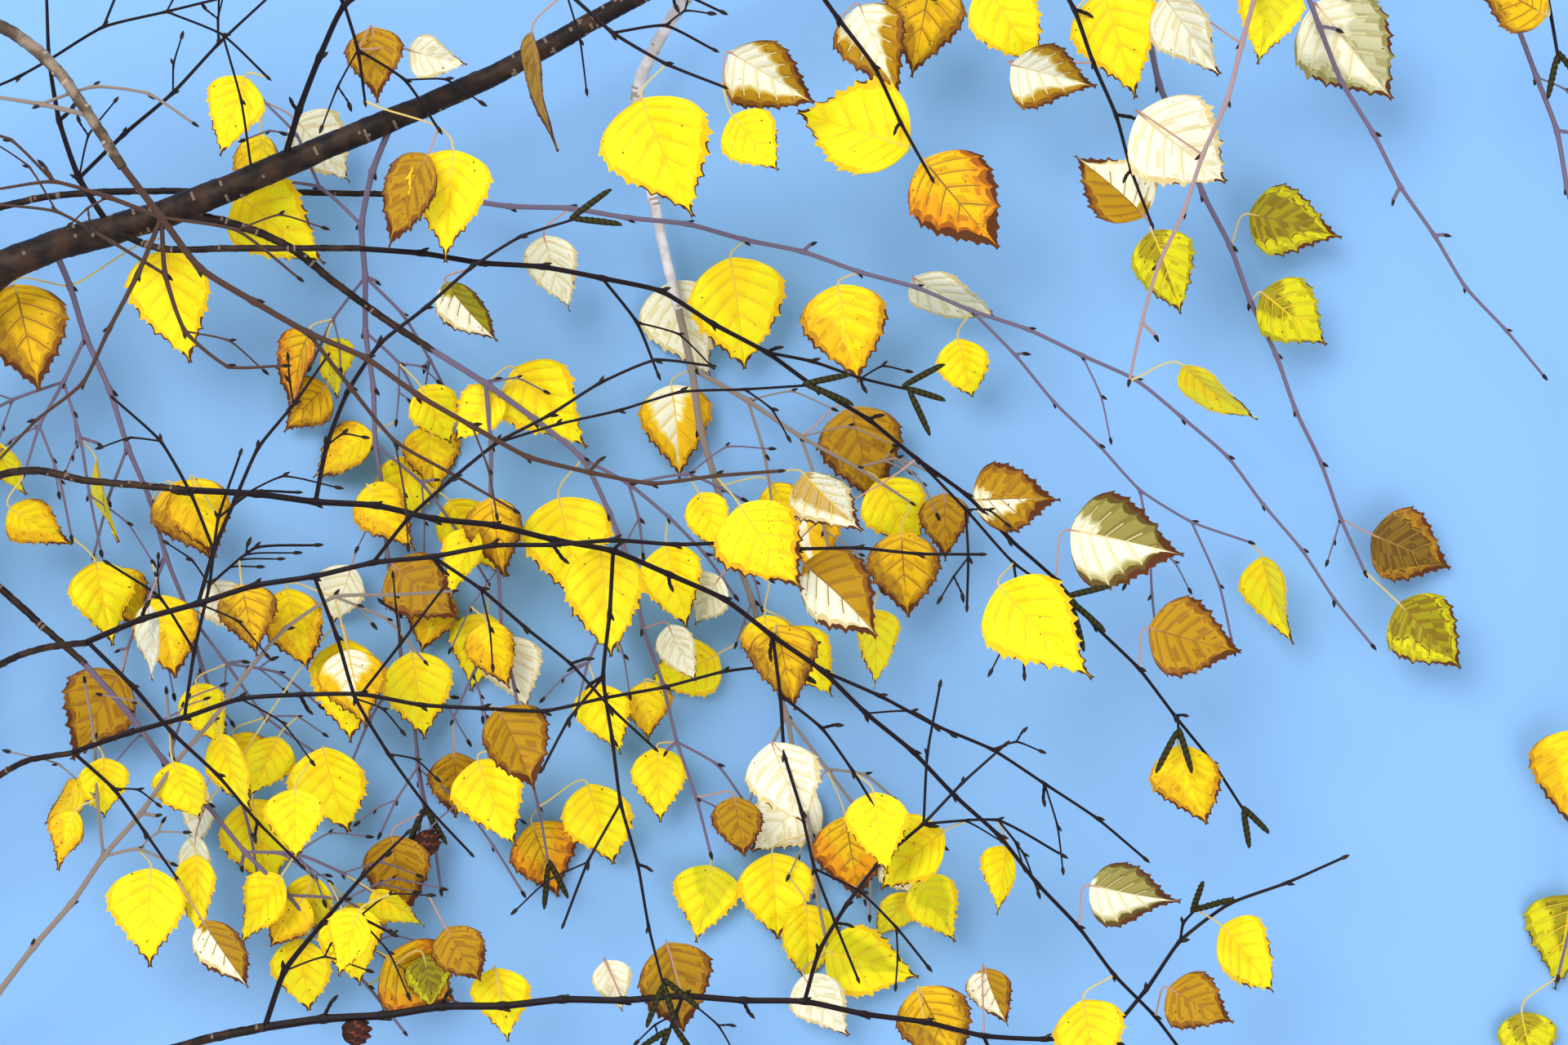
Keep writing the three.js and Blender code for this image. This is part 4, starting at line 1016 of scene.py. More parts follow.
def nearest_on(shoots: list[Shoot], place: Array) -> tuple[Shoot, int]:
    """The shoot and point nearest to a place, as seen from above.

    Args:
        shoots: The shoots to look among.
        place: The place.

    Returns:
        The shoot, and the number of its point.
    """
    best, found = math.inf, (shoots[0], 0)
    for shoot in shoots:
        away = np.hypot(shoot.points[:, 0] - place[0], shoot.points[:, 1] - place[1])
        i = int(np.argmin(away))
        if away[i] < best:
            best, found = away[i], (shoot, i)
    return found


def apart(a: Array, b: Array, c: Array, d: Array) -> Array:
    """The least distance between segment a to b and each segment c to d.

    Args:
        a: Start of the one segment.
        b: End of the one segment.
        c: Starts of the others, one a row.
        d: Ends of the others, one a row.

    Returns:
        One distance for each of the others.
    """
    u, v, w = b - a, d - c, a - c
    uu, uv, vv = float(u @ u), v @ u, (v * v).sum(axis=1)
    uw, vw = w @ u, (v * w).sum(axis=1)
    across = uu * vv - uv * uv
    skew = across > 1e-9
    s = np.where(skew, np.clip((uv * vw - vv * uw) / np.where(skew, across, 1.0), 0.0, 1.0), 0.0)
    long_enough = vv > 1e-9
    t = np.where(long_enough, np.clip((uv * s + vw) / np.where(long_enough, vv, 1.0), 0.0, 1.0), 0.0)
    s = np.clip((uv * t - uw) / uu, 0.0, 1.0) if uu > 1e-9 else np.zeros_like(t)
    gap = (a + s[:, None] * u) - (c + t[:, None] * v)
    return np.sqrt((gap * gap).sum(axis=1))


class Room:
    """Room that is already taken: rounded rods, each with the number of its limb or spray."""

    def __init__(self) -> None:
        """Starts with nothing taken."""
        self.rods = np.zeros((0, 7))
        self.owners = np.zeros(0, dtype=int)

    def claim(self, owner: int, rods: Array) -> None:
        """Takes up the room of these rods."""
        self.rods = np.vstack([self.rods, rods])
        self.owners = np.concatenate([self.owners, np.full(len(rods), owner)])

    def is_free(self, owner: int, rods: Array, root: Array, rule: Rule) -> bool:
        """True if no rod comes too near to a taken one, apart from its own spray's near its root.

        Args:
            owner: The number of its own limb or spray.
            rods: The rods that ask for room.
            root: Where they grow from.
            rule: The rule that they grow by.

        Returns:
            Whether there is room.
        """
        starts, ends, radii = self.rods[:, :3], self.rods[:, 3:6], self.rods[:, 6]
        near_root = (self.owners == owner) & (apart(root, root, starts, ends) < rule.own_room)
        for rod in rods:
            close = apart(rod[:3], rod[3:6], starts, ends) <= rod[6] + radii + rule.clearance
            if np.any(close & ~near_root):
                return False
        return True


# Meshes


class Skin:
    """Corners and faces of one piece, gathered from many small things, each face with its finish."""

    def __init__(self, name: str) -> None:
        """Starts an empty piece of this name."""
        self.name = name
        self.finishes: list[Finish] = []
        self.corners: list[Array] = []
        self.quads: list[Array] = []
        self.quad_slots: list[Array] = []
        self.tris: list[Array] = []
        self.tri_slots: list[Array] = []
        self.count = 0

    def slot_of(self, finish: Finish) -> int:
        """The number of the finish's material slot, which is added if it is new."""
        if finish not in self.finishes:
            self.finishes.append(finish)
        return self.finishes.index(finish)

    def add(
        self, corners: Array, quads: Array, slots: int | Array, tris: Array | None = None, tri_slot: int = 0
    ) -> None:
        """Adds one small thing.

        Args:
            corners: Its corners in millimetres.
            quads: Four corner numbers a row.
            slots: One slot for all quads, or one each.
            tris: Three corner numbers a row.
            tri_slot: The slot of the triangles.
        """
        self.corners.append(corners)
        self.quads.append(quads + self.count)
        self.quad_slots.append(np.broadcast_to(slots, len(quads)))
        if tris is not None:
            self.tris.append(tris + self.count)
            self.tri_slots.append(np.full(len(tris), tri_slot))
        self.count += len(corners)

    def piece(self, nodes: tuple[str, ...], crease: float = 40.0, weld: bool = False) -> None:
        """Makes the mesh, and sets the piece into the frame.

        Args:
            nodes: The CAD nodes that it stands for.
            crease: Edges sharper than this many degrees stay sharp.
            weld: Whether corners at one place are made one.
        """
        quads = np.vstack(self.quads) if self.quads else np.zeros((0, 4), dtype=int)
        tris = np.vstack(self.tris) if self.tris else np.zeros((0, 3), dtype=int)
        corners = np.vstack(self.corners) * MM
        corners[:, 2] = np.maximum(corners[:, 2], 0.0)
        if weld:
            rounded = np.round(corners, 8)
            _, kept, places = np.unique(rounded, axis=0, return_index=True, return_inverse=True)
            places = places.reshape(-1)
            corners, quads, tris = corners[kept], places[quads], places[tris]
        mesh = bpy.data.meshes.new(self.name)
        mesh.vertices.add(len(corners))
        mesh.vertices.foreach_set("co", corners.ravel().astype(np.float32))
        loops = np.concatenate([quads.ravel(), tris.ravel()])
        mesh.loops.add(len(loops))
        mesh.loops.foreach_set("vertex_index", loops.astype(np.int32))
        starts = np.concatenate([4 * np.arange(len(quads)), 4 * len(quads) + 3 * np.arange(len(tris))])
        mesh.polygons.add(len(starts))
        mesh.polygons.foreach_set("loop_start", starts.astype(np.int32))
        used, slots = np.unique(np.concatenate([*self.quad_slots, *self.tri_slots]), return_inverse=True)
        mesh.polygons.foreach_set("material_index", slots.reshape(-1).astype(np.int32))
        mesh.polygons.foreach_set("use_smooth", np.ones(len(starts), dtype=bool))
        mesh.update(calc_edges=True)
        mesh.validate()
        mesh.set_sharp_from_angle(angle=math.radians(crease))
        for number in used:
            mesh.materials.append(self.finishes[number].material())
        made = linked(self.name, mesh)
        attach(made, "root")
        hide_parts(*nodes)
        LOG.info("%s: %d triangles in %d finishes", self.name, 2 * len(quads) + len(tris), len(used))


def around(sides: int) -> Array:
    """The angles of a ring's corners."""
    return 2 * np.pi * np.arange(sides) / sides


def ring(sides: int) -> tuple[Array, Array]:
    """The corners of a ring, and the one after each."""
    first = np.arange(sides)
    return first, (first + 1) % sides


def ring_faces(rings: int, sides: int) -> tuple[Array, Array]:
    """For each face between two rings, its corner on the first of them and the next corner there."""
    starts = np.arange(rings - 1)[:, None] * sides
    first, second = ring(sides)
    return (starts + first).ravel(), (starts + second).ravel()


def fan(middle: int, first: Array, second: Array) -> Array:
    """Triangles from one middle corner to the edges from first to second."""
    return np.stack([np.full(len(first), middle), first, second], axis=1)


def sweep(path: Array, radii: Array, sides: int) -> tuple[Array, Array, Array]:
    """A closed tube along a path.

    Args:
        path: The middle of each ring.
        radii: One radius for each ring, or one for each corner of each ring.
        sides: Corners of a ring.

    Returns:
        Corners, quads, and the triangles of both ends.
    """
    count = len(path)
    runs = np.vstack([path[1] - path[0], path[2:] - path[:-2], path[-1] - path[-2]])
    runs /= np.sqrt((runs * runs).sum(axis=1))[:, None]
    across = np.zeros((count, 3))
    held = UP if abs(runs[0][2]) < 0.95 else np.array([1.0, 0.0, 0.0])
    for i in range(count):
        held = unit(held - runs[i] * float(held @ runs[i]))
        across[i] = held
    over = np.cross(runs, across)
    angles = around(sides)
    cosines, sines = np.cos(angles)[None, :, None], np.sin(angles)[None, :, None]
    spread = np.broadcast_to(np.asarray(radii, dtype=float).reshape(count, -1), (count, sides))
    out = across[:, None, :] * cosines + over[:, None, :] * sines
    rings = path[:, None, :] + out * spread[:, :, None]
    corners = np.vstack([rings.reshape(-1, 3), path[0], path[-1]])
    here, there = ring_faces(count, sides)
    quads = np.stack([here, there, there + sides, here + sides], axis=1)
    first, second = ring(sides)
    last, foot = (count - 1) * sides, count * sides
    ends = [fan(foot, second, first), fan(foot + 1, last + first, last + second)]
    return corners, quads, np.vstack(ends)


def add_tube(skin: Skin, path: Array, radii: Array, sides: int, finish: Finish) -> None:
    """Adds a closed tube of one finish."""
    corners, quads, tris = sweep(path, radii, sides)
    slot = skin.slot_of(finish)
    skin.add(corners, quads, slot, tris, slot)


@dataclass(frozen=True)
class BudForm:
    """A pointed bud of overlapping scales, in millimetres."""

    length: float = 4.4
    radius: float = 1.05
    lean: float = 27.0
    stations: tuple[float, ...] = (0.0, 0.16, 0.4, 0.68, 0.88, 1.0)
    profile: tuple[float, ...] = (0.55, 0.9, 1.0, 0.78, 0.38, 0.06)

    def add_to(self, skin: Skin, root: Array, way: Array, size: float) -> None:
        """Adds a bud that starts at root and points along way, at this size."""
        path = root + np.outer(self.stations, way) * self.length * size
        add_tube(skin, path, np.array(self.profile) * self.radius * size, 6, BUD_SCALE)


@dataclass(frozen=True)
class TwigForm:
    """How the finer shape of a twig follows from its shoot: swollen buds, pores and spurs."""

    sides: int = 7
    swelling: float = 0.32
    swell_width: float = 1.7
    shares: tuple[float, ...] = (0.0, 0.045, 0.1, 0.22, 0.4, 0.6, 0.78, 0.9, 0.955)
    bud: BudForm = BudForm()
    pore_every: float = 6.0
    pore_size: Triple = (0.28, 0.14, 0.09)
    spur_share: float = 0.16
    spur: Pair = (3.0, 8.0)
    fine: int = 40

    def path_of(self, shoot: Shoot) -> tuple[Array, Array]:
        """The path between the shoot's buds, midway between straight and smooth, and the radii along it.

        Args:
            shoot: The shoot.

        Returns:
            The path, and the radius at each of its points.
        """
        points = shoot.points
        smooth = through(points, self.fine)
        path, radii = [], []
        plump = shoot.radii.copy()
        plump[0] = max(plump[0], plump[1])
        for i in range(len(points) - 1):
            gap = math.dist(points[i], points[i + 1])
            for share in self.shares:
                straight = between(points[i], points[i + 1], share)
                curved = smooth[self.fine * i + round(self.fine * share)]
                path.append((straight + curved) / 2)
                behind = share * gap if i else math.inf
                ahead = (1 - share) * gap if i + 2 < len(points) else math.inf
                swell = 1 + self.swelling * math.exp(-((min(behind, ahead) / self.swell_width) ** 2))
                radii.append(between(plump[i], plump[i + 1], share) * swell)
        return np.array([*path, points[-1]]), np.array([*radii, plump[-1]])

    def add_pores(self, skin: Skin, path: Array, radii: Array, draws: Draws, finish: Finish) -> None:
        """Adds small raised pores, each a low pyramid across the twig.

        Args:
            skin: The piece that they join.
            path: The twig's middle line.
            radii: The radius at each of its points.
            draws: The stream for what varies.
            finish: The look of the pores.
        """
        reached = along_path(path)
        slot = skin.slot_of(finish)
        wide, long, high = self.pore_size
        faces = np.array([[0, 3, 2], [0, 2, 1], [0, 1, 4], [1, 2, 4], [2, 3, 4], [3, 0, 4]])
        diamond = ((-1, 0), (0, -1), (1, 0), (0, 1))
        for _ in range(round(reached[-1] / self.pore_every)):
            at = draws.next() * reached[-1]
            i = min(int(np.searchsorted(reached, at)), len(path) - 1)
            run = unit(path[i] - path[i - 1]) if i else unit(path[1] - path[0])
            out = turned(unit(np.cross(run, UP)), run, draws.within(0, 2 * math.pi))
            over = np.cross(run, out)
            share = (at - reached[i - 1]) / (reached[i] - reached[i - 1]) if i else 0.0
            middle = between(path[i - 1], path[i], share) if i else path[0]
            radius = between(radii[i - 1], radii[i], share) if i else radii[0]
            foot = middle + out * radius * 0.86
            size = draws.within(0.7, 1.3)
            corners = [foot + size * (a * wide * over + b * long * run) for a, b in diamond]
            top = middle + out * (radius + high * size)
            skin.add(np.array([*corners, top]), np.zeros((0, 4), dtype=int), slot, faces, slot)

    def add_to(self, skin: Skin, shoot: Shoot, draws: Draws, tone: TwigTone) -> None:
        """Adds a twig with its buds, pores and spurs.

        Args:
            skin: The piece that it joins.
            shoot: The shoot that it follows.
            draws: The stream for what varies.
            tone: The look of its bark.
        """
        path, radii = self.path_of(shoot)
        add_tube(skin, path, radii, self.sides, TWIG_BARK[tone])
        self.add_pores(skin, path, radii, draws, PALE_PORE if tone is TwigTone.PALE else PORE)
        last = len(shoot.points) - 1
        for i in range(1, last):
            run, hand = shoot.run_at(i), 1 if i % 2 else -1
            aside = turned(unit(np.cross(UP, run)), run, draws.within(-0.7, 0.7)) * hand
            lean = math.radians(self.bud.lean + draws.within(-6, 10))
            way = run * math.cos(lean) + aside * math.sin(lean)
            root = shoot.points[i] + aside * shoot.radii[i] * 0.45
            if draws.next() < self.spur_share:
                length = draws.within(*self.spur)
                way = unit(run * 0.5 + aside * 0.9)
                end = root + way * length
                steps = np.linspace(0, 1, 6)[:, None]
                girth = min(0.85, 1.1 * shoot.radii[i]) + 0.1 * np.cos(np.arange(6) * math.pi)
                add_tube(skin, root + (end - root) * steps, girth, 6, TWIG_BARK[tone])
                self.bud.add_to(skin, end - way * 0.5, unit(way + run * 0.4), draws.within(0.75, 1.0))
            else:
                size = draws.within(0.75, 1.05) * min(1.0, 0.66 + 0.25 * shoot.radii[i])
                self.bud.add_to(skin, root, way, size)
        run = shoot.run_at(last)
        self.bud.add_to(skin, shoot.points[last] - run * 0.8, run, draws.within(0.75, 0.95))


TWIG_FORM = TwigForm()


@dataclass(frozen=True)
class CatkinForm:
    """A closed winter catkin, scaly and slightly bent. Lengths are in millimetres."""

    sides: int = 10
    ring_every: float = 0.6
    scale_depth: float = 0.13
    stations: tuple[float, ...] = (0.0, 0.08, 0.3, 0.6, 0.85, 0.96, 1.0)
    profile: tuple[float, ...] = (0.35, 0.8, 1.0, 1.0, 0.85, 0.5, 0.15)
    finishes: tuple[Finish, Finish] = (CATKIN_SCALE, CATKIN_EDGE)
    plumpness: float = 0.84

    def add_to(self, skin: Skin, shoot: Shoot) -> None:
        """Adds a catkin along its shoot, with scales in rings that are set between each other.

        Args:
            skin: The piece that it joins.
            shoot: The shoot that it follows.
        """
        fine = through(shoot.points, 12)
        reached = along_path(fine)
        count = max(8, round(reached[-1] / self.ring_every))
        targets = reached[-1] * np.arange(count + 1) / count
        path = resampled(fine, reached, targets)
        girth = np.interp(targets / reached[-1], self.stations, self.profile)
        girth = girth * shoot.radii.max() * self.plumpness
        rings, angles = np.arange(count + 1)[:, None], around(self.sides)[None, :]
        waves = np.cos(self.sides / 2 * angles + np.pi * (rings // 2))
        scales = 1 + self.scale_depth * waves * (rings % 2 * 2 - 1)
        corners, quads, tris = sweep(path, girth[:, None] * scales, self.sides)
        slots = [skin.slot_of(finish) for finish in self.finishes]
        edge = ((np.arange(count)[:, None] + np.arange(self.sides)[None, :]) % 4 == 0).ravel()
        skin.add(corners, quads, np.where(edge, slots[1], slots[0]), tris, slots[0])


CATKIN_FORM = CatkinForm()
# A ripe seed cone: short and plump, with wide scales that stand off
CONE_FORM = CatkinForm(
    sides=12, ring_every=0.9, scale_depth=0.2, stations=(0.0, 0.12, 0.35, 0.7, 0.9, 1.0),
    profile=(0.3, 0.8, 1.0, 0.9, 0.6, 0.2), finishes=(CONE_SCALE, CONE_EDGE), plumpness=1.0,
)


# Leaves


@dataclass(frozen=True)
class BladeForm:
    """A birch leaf's blade: a broad wedge that runs to a point, with a vein to each of its main teeth.

    Lengths are in blade lengths. Stations along the margin are counted from vein to vein, and rows run from
    the midrib at 0 to the margin at 1.
    """

    veins: int = 7
    half_width: float = 0.4
    widest: float = 0.318
    vein_start: float = 2.1
    thickness: float = 0.0075
    keel: float = 1.2
    rib: float = 0.026
    tooth: float = 0.036
    tooth_forward: float = 0.026
    fractions: tuple[float, ...] = (0.0, 0.04, 0.14, 0.4, 0.52, 0.78, 0.96)
    teeth_out: tuple[float, ...] = (1.0, 0.6, 0.02, 0.42, 0.05, 0.34, 0.88)
    teeth_forward: tuple[float, ...] = (1.0, 0.65, 0.05, 0.6, 0.05, 0.25, 0.85)
    bulge: float = 0.011
    vein_bow: float = 0.02
    ripples: int = 11
    rib_height: float = 0.005
    rib_width: float = 0.02
    least_turn: float = 0.2
    zone: float = 0.07
    speckled_from: int = 40

    def outline(self, along: Array, widest: float, half_width: float) -> Array:
        """The half width without teeth at places along a blade that is widest at this place."""
        rise = (np.clip(along, 0, 1) / widest) ** 0.7
        fall = (np.clip(1 - along, 0, 1) / (1 - widest)) ** (0.7 * (1 - widest) / widest)
        return np.maximum(half_width * rise * fall, 0.004)


BLADE = BladeForm()


class Blade:
    """One leaf's blade and stalk, as closed thin skins."""

    def __init__(self, leaf: Leaf, draws: Draws) -> None:
        """Settles how this blade departs from the even shape.

        Args:
            leaf: The leaf that is built.
            draws: The stream for what varies.
        """
        self.leaf = leaf
        self.draws = draws
        self.widest = draws.within(0.28, 0.35)
        self.half_width = draws.within(0.365, 0.425)
        self.fold = RULE.fold + draws.within(-0.12, 0.16)
        room = leaf.base[2] / leaf.length + leaf.axis[2] - 0.05
        self.curl = min(RULE.curl + draws.within(-0.08, 0.13), room / max(leaf.normal[2], 0.3))
        self.bend = draws.within(-0.07, 0.07)
        self.twist = draws.within(-0.22, 0.22)
        self.ripple = draws.within(0.008, 0.03)
        self.phase = draws.within(0, 6.28)
        self.widths = {1: draws.within(0.93, 1.07), -1: draws.within(0.93, 1.07)}

    def surface(
        self, along: Array, fraction: Array, row: Array, hand: int, out: Value = 0.0, forward: Value = 0.0
    ) -> Array:
        """Points on the upper side of the blade.

        Args:
            along: Where the line to the margin ends, from 0 at the base to 1 at the tip.
            fraction: Where the line lies between two veins, from 0 to 1.
            row: How far the point is from the midrib to the margin.
            hand: 1 for the left half, and -1 for the right.
            out: How far the margin stands out there.
            forward: How far the margin leans to the tip there.

        Returns:
            Points in millimetres, with the arrays' shape and one more axis.
        """
        start = along**BLADE.vein_start
        half = BLADE.outline(along, self.widest, self.half_width) * self.widths[hand]
        rim = np.clip((row - 0.8) / 0.2, 0, 1)
        bow = BLADE.vein_bow * np.sin(np.pi * row) * half / self.half_width
        ahead = start + (along - start) * row - bow + rim * forward
        aside = half * row + rim * out
        pillow = BLADE.bulge * np.sin(np.pi * fraction) * np.sin(np.pi * np.clip(row, 0, 1) ** 0.8)
        raised = pillow * eased(along, 0, 0.2)
        wave = self.ripple * row**2 * np.sin(BLADE.ripples * along + self.phase + hand)
        rib = BLADE.rib_height * np.exp(-((row / BLADE.rib_width) ** 2)) * (1 - along)
        lift = aside * (self.fold + hand * self.twist * ahead) - self.curl * ahead**2 + raised + wave + rib
        ahead, aside, lift = np.broadcast_arrays(ahead, hand * aside + self.bend * ahead**2, lift)
        leaf = self.leaf
        local = ahead[..., None] * leaf.axis + aside[..., None] * leaf.side + lift[..., None] * leaf.normal
        return leaf.base + leaf.length * local

    def add_to(self, skin: Skin) -> None:
        """Adds the blade, its spots and its stalk to a piece."""
        steps = len(BLADE.fractions)
        stations = np.arange(BLADE.veins * steps + 1)
        step = stations % steps
        fraction = np.array(BLADE.fractions)[step]
        along = (stations // steps + fraction) / BLADE.veins
        reach = eased(along, 0.1, 0.26) * (1 - 0.5 * eased(along, 0.7, 1.0))
        halves, paints = [], []
        for hand in (1, -1):
            rows, turn = self.rows(hand, along, fraction)
            vary = np.repeat(self.draws.many(BLADE.veins + 1, 0.75, 1.35), steps)[: len(stations)]
            out = np.array(BLADE.teeth_out)[step] * BLADE.tooth * reach * vary
            forward = np.array(BLADE.teeth_forward)[step] * BLADE.tooth_forward * reach
            teeth = out[:, None], forward[:, None]
            halves.append(self.surface(along[:, None], fraction[:, None], rows, hand, *teeth))
            paints.append(self.paint(skin, hand, rows, turn))
        corners, quads = self.closed(np.concatenate([halves[0][:, :0:-1], halves[1]], axis=1))
        slots = np.concatenate([paints[0][:, ::-1], paints[1]], axis=1)
        walls = [slots[:, 0], slots[:, -1], slots[0], slots[-1]]
        skin.add(corners, quads, np.concatenate([slots.ravel()] * 2 + walls))
        self.add_spots(skin)
        self.add_stalk(skin)

    def closed(self, top: Array) -> tuple[Array, Array]:
        """Closes the blade with an under side and walls round its margin.

        Args:
            top: Corners of its upper side, by station and row.

        Returns:
            All corners, and the quads of the upper side, the under side and the four walls.
        """
        n, rows = top.shape[:2]
        at_midrib = np.arange(rows) == rows // 2
        thick = BLADE.thickness * self.leaf.length * (1 + BLADE.keel * at_midrib)
        under = top - thick[None, :, None] * self.leaf.normal
        i, j = np.meshgrid(np.arange(n - 1), np.arange(rows - 1), indexing="ij")
        here, below = i * rows + j, n * rows
        upper = np.stack([here, here + rows, here + rows + 1, here + 1], axis=-1).reshape(-1, 4)
        lower = below + np.stack([here, here + 1, here + rows + 1, here + rows], axis=-1).reshape(-1, 4)
        near, far = here[:, 0], here[:, -1] + 1
        left = np.stack([near, near + below, near + rows + below, near + rows], axis=1)
        right = np.stack([far, far + rows, far + rows + below, far + below], axis=1)
        base = np.arange(rows - 1)
        foot = np.stack([base, base + 1, base + 1 + below, base + below], axis=1)
        tip = (n - 1) * rows + base
        head = np.stack([tip, tip + below, tip + 1 + below, tip + 1], axis=1)
        corners = np.vstack([top.reshape(-1, 3), under.reshape(-1, 3)])
        return corners, np.vstack([upper, lower, left, right, foot, head])

    def rows(self, hand: int, along: Array, fraction: Array) -> tuple[Array, Array]:
        """Where the rows of one half lie, so that each change of colour runs along one of them.

        Args:
            hand: 1 for the left half, and -1 for the right.
            along: Where each station's line meets the margin.
            fraction: Where each station lies between two veins.

        Returns:
            The places of the rows for each station, and how far out the inner tone reaches there.
        """
        colours = self.leaf.tint.value
        a, b, c = self.draws.many(3, 0, 2 * math.pi)
        wave = 0.6 * np.sin(9 * along + a) + 0.4 * np.sin(21 * along + b)
        pillow = np.sin(np.pi * fraction)
        # The scorch reaches in from the margin, deeper towards the tip and between two veins.
        depth = 0.012 + colours.scorch * (0.07 + 0.5 * along**3) * (1 + 0.8 * wave) * (0.6 + 0.5 * pillow)
        tip = eased(along, 0.9 - 0.3 * colours.scorch, 1.0)
        burnt = 1 - np.clip(np.maximum(depth, 0.008) + 0.6 * tip, 0.0, 0.7)
        rim = burnt * (0.93 - 0.03 * wave - 0.12 * colours.scorch * pillow)
        # The outer tone reaches in from the margin, further towards the tip and between two veins: partly the
        # leaf's turning colour, partly painted light and shade.
        spread = colours.spread[hand < 0] * self.draws.within(0.8, 1.2)
        turn = 1.1 - spread * (0.2 + 1.5 * along) + 0.09 * np.sin(13 * along + c)
        turn = turn - 0.14 * pillow * min(spread, 1.0)
        edge = rim * np.clip(turn, BLADE.least_turn, 0.9)
        zone = BLADE.zone * rim
        none = np.zeros_like(along)
        rib = none + BLADE.rib
        low, high = edge - zone, edge + zone
        rows = [none, rib, (rib + low) / 2, low, edge, high, (high + rim) / 2, rim, burnt, none + 1]
        return np.stack(rows, axis=1), turn

    def paint(self, skin: Skin, hand: int, rows: Array, turn: Array) -> Array:
        """The slot of each face of one half: vein, strip beside a vein, blade, patch, rim or scorch.

        Args:
            skin: The piece that the slots belong to.
            hand: 1 for the left half, and -1 for the right.
            rows: The places of the rows for each station.
            turn: How far out the inner tone reaches at each station.

        Returns:
            Slots, one row for each step from base to tip.
        """
        colours = self.leaf.tint.value
        last = len(rows) - 1
        i, strip = np.meshgrid(np.arange(last), np.arange(rows.shape[1] - 1), indexing="ij")
        steps = len(BLADE.fractions)
        place, share = i % steps, i / last
        tones = (colours.inner, colours.outer if colours.spread[hand < 0] > 0 else colours.inner)
        table = np.array([[skin.slot_of(tone.finish(part)) for part in range(3)] for tone in tones])
        turned_over = turn[:-1, None] < BLADE.least_turn
        outside = (strip >= 5) | turned_over
        by_vein = ((place <= 1) | (place >= steps - 2)) & (share > 0.1)
        slots = table[outside.astype(int), np.where(strip >= 7, 2, by_vein.astype(int))]
        for zone in (1, 2):
            between_tones = (strip == 2 + zone) & ~turned_over
            slots = np.where(between_tones, skin.slot_of(tones[0].towards(tones[1], zone)), slots)
        # Darker patches between the veins: partly browning, partly painted shade.
        if colours.mottle:
            a, b = self.draws.many(2, 0, 2 * math.pi)
            waves = np.sin(1.3 * i + 1.9 * strip + a) + np.sin(0.8 * i - 2.5 * strip + b)
            mottled = (waves > 2 - 4 * colours.mottle) & (strip >= 1) & (strip <= 7)
            patches = np.array([skin.slot_of(tone.mottle()) for tone in tones])
            slots = np.where(mottled, patches[outside.astype(int)], slots)
        vein = ((place == 0) | (place == steps - 1)) & (strip <= 5) & (i >= steps) & (i < last - steps)
        slots = np.where((vein | (strip == 0)) & (share < 0.94), skin.slot_of(colours.vein), slots)
        scorched = (strip == 8) & (rows[:-1, 8:9] < 0.97) | (share > 0.975)
        return np.where(scorched, skin.slot_of(SCORCH), slots)

    def add_spots(self, skin: Skin) -> None:
        """Adds small dry spots that go through the blade, more of them towards its edge."""
        leaf, sides = self.leaf, 5
        count = leaf.tint.value.spots
        speckled = count > BLADE.speckled_from
        slot = skin.slot_of(SPOT)
        angles = around(sides)
        spoke = np.outer(np.cos(angles), leaf.axis) + np.outer(np.sin(angles), leaf.side)
        first, second = ring(sides)
        quads = np.stack([first, second, second + sides, first + sides], axis=1)
        ends = [fan(2 * sides, second, first), fan(2 * sides + 1, first + sides, second + sides)]
        for _ in range(count):
            along, row = self.draws.within(0.12, 0.9), self.draws.within(0.02, 0.9) ** 0.5
            hand = 1 if self.draws.next() < (0.7 if speckled else 0.5) else -1
            radius = self.draws.within(0.1, 0.26) if speckled else self.draws.within(0.18, 0.5)
            top = self.surface(np.array(along), np.array(along * BLADE.veins % 1), np.array(row), hand)
            low = top - leaf.normal * (BLADE.thickness * leaf.length + 0.12)
            high = top + leaf.normal * 0.06
            corners = np.vstack([low + spoke * radius, high + spoke * radius, low, high])
            skin.add(corners, quads, slot, np.vstack(ends), slot)

    def add_stalk(self, skin: Skin) -> None:
        """Adds the stalk, which bends from the bud into the line of the midrib."""
        leaf = self.leaf
        reach = math.dist(leaf.node, leaf.base)
        first = between(leaf.node, leaf.base, 0.35)
        second = leaf.base - leaf.axis * reach * 0.32
        t = np.linspace(0, 1, 9)[:, None]
        s = 1 - t
        curve = s**3 * leaf.node + 3 * s**2 * t * first + 3 * s * t**2 * second + t**3 * leaf.base
        sunk = leaf.normal * BLADE.thickness * leaf.length
        ribs = [self.surface(np.array(a), np.array(0.0), np.array(0.0), 1) - sunk for a in (0.3, 0.5)]
        path = np.vstack([curve, *ribs])
        radii = np.interp(t.ravel(), [0, 0.15, 0.85, 1], [0.6, 0.42, 0.42, 0.5])
        add_tube(skin, path, np.concatenate([radii, [0.4, 0.2]]), 6, leaf.tint.value.stalk)


# Limbs

# Soft swellings of bark: waves round the limb, how long they are along it, and their share of its radius
SWELLINGS = ((2, 41.0, 0.022), (3, 17.0, 0.014), (1, 29.0, 0.02))
# Wrinkles: waves round the limb, and how long they are along it
WRINKLES = ((5, 2.7), (7, 3.9), (11, 6.1), (4, 5.3), (13, 14.0))


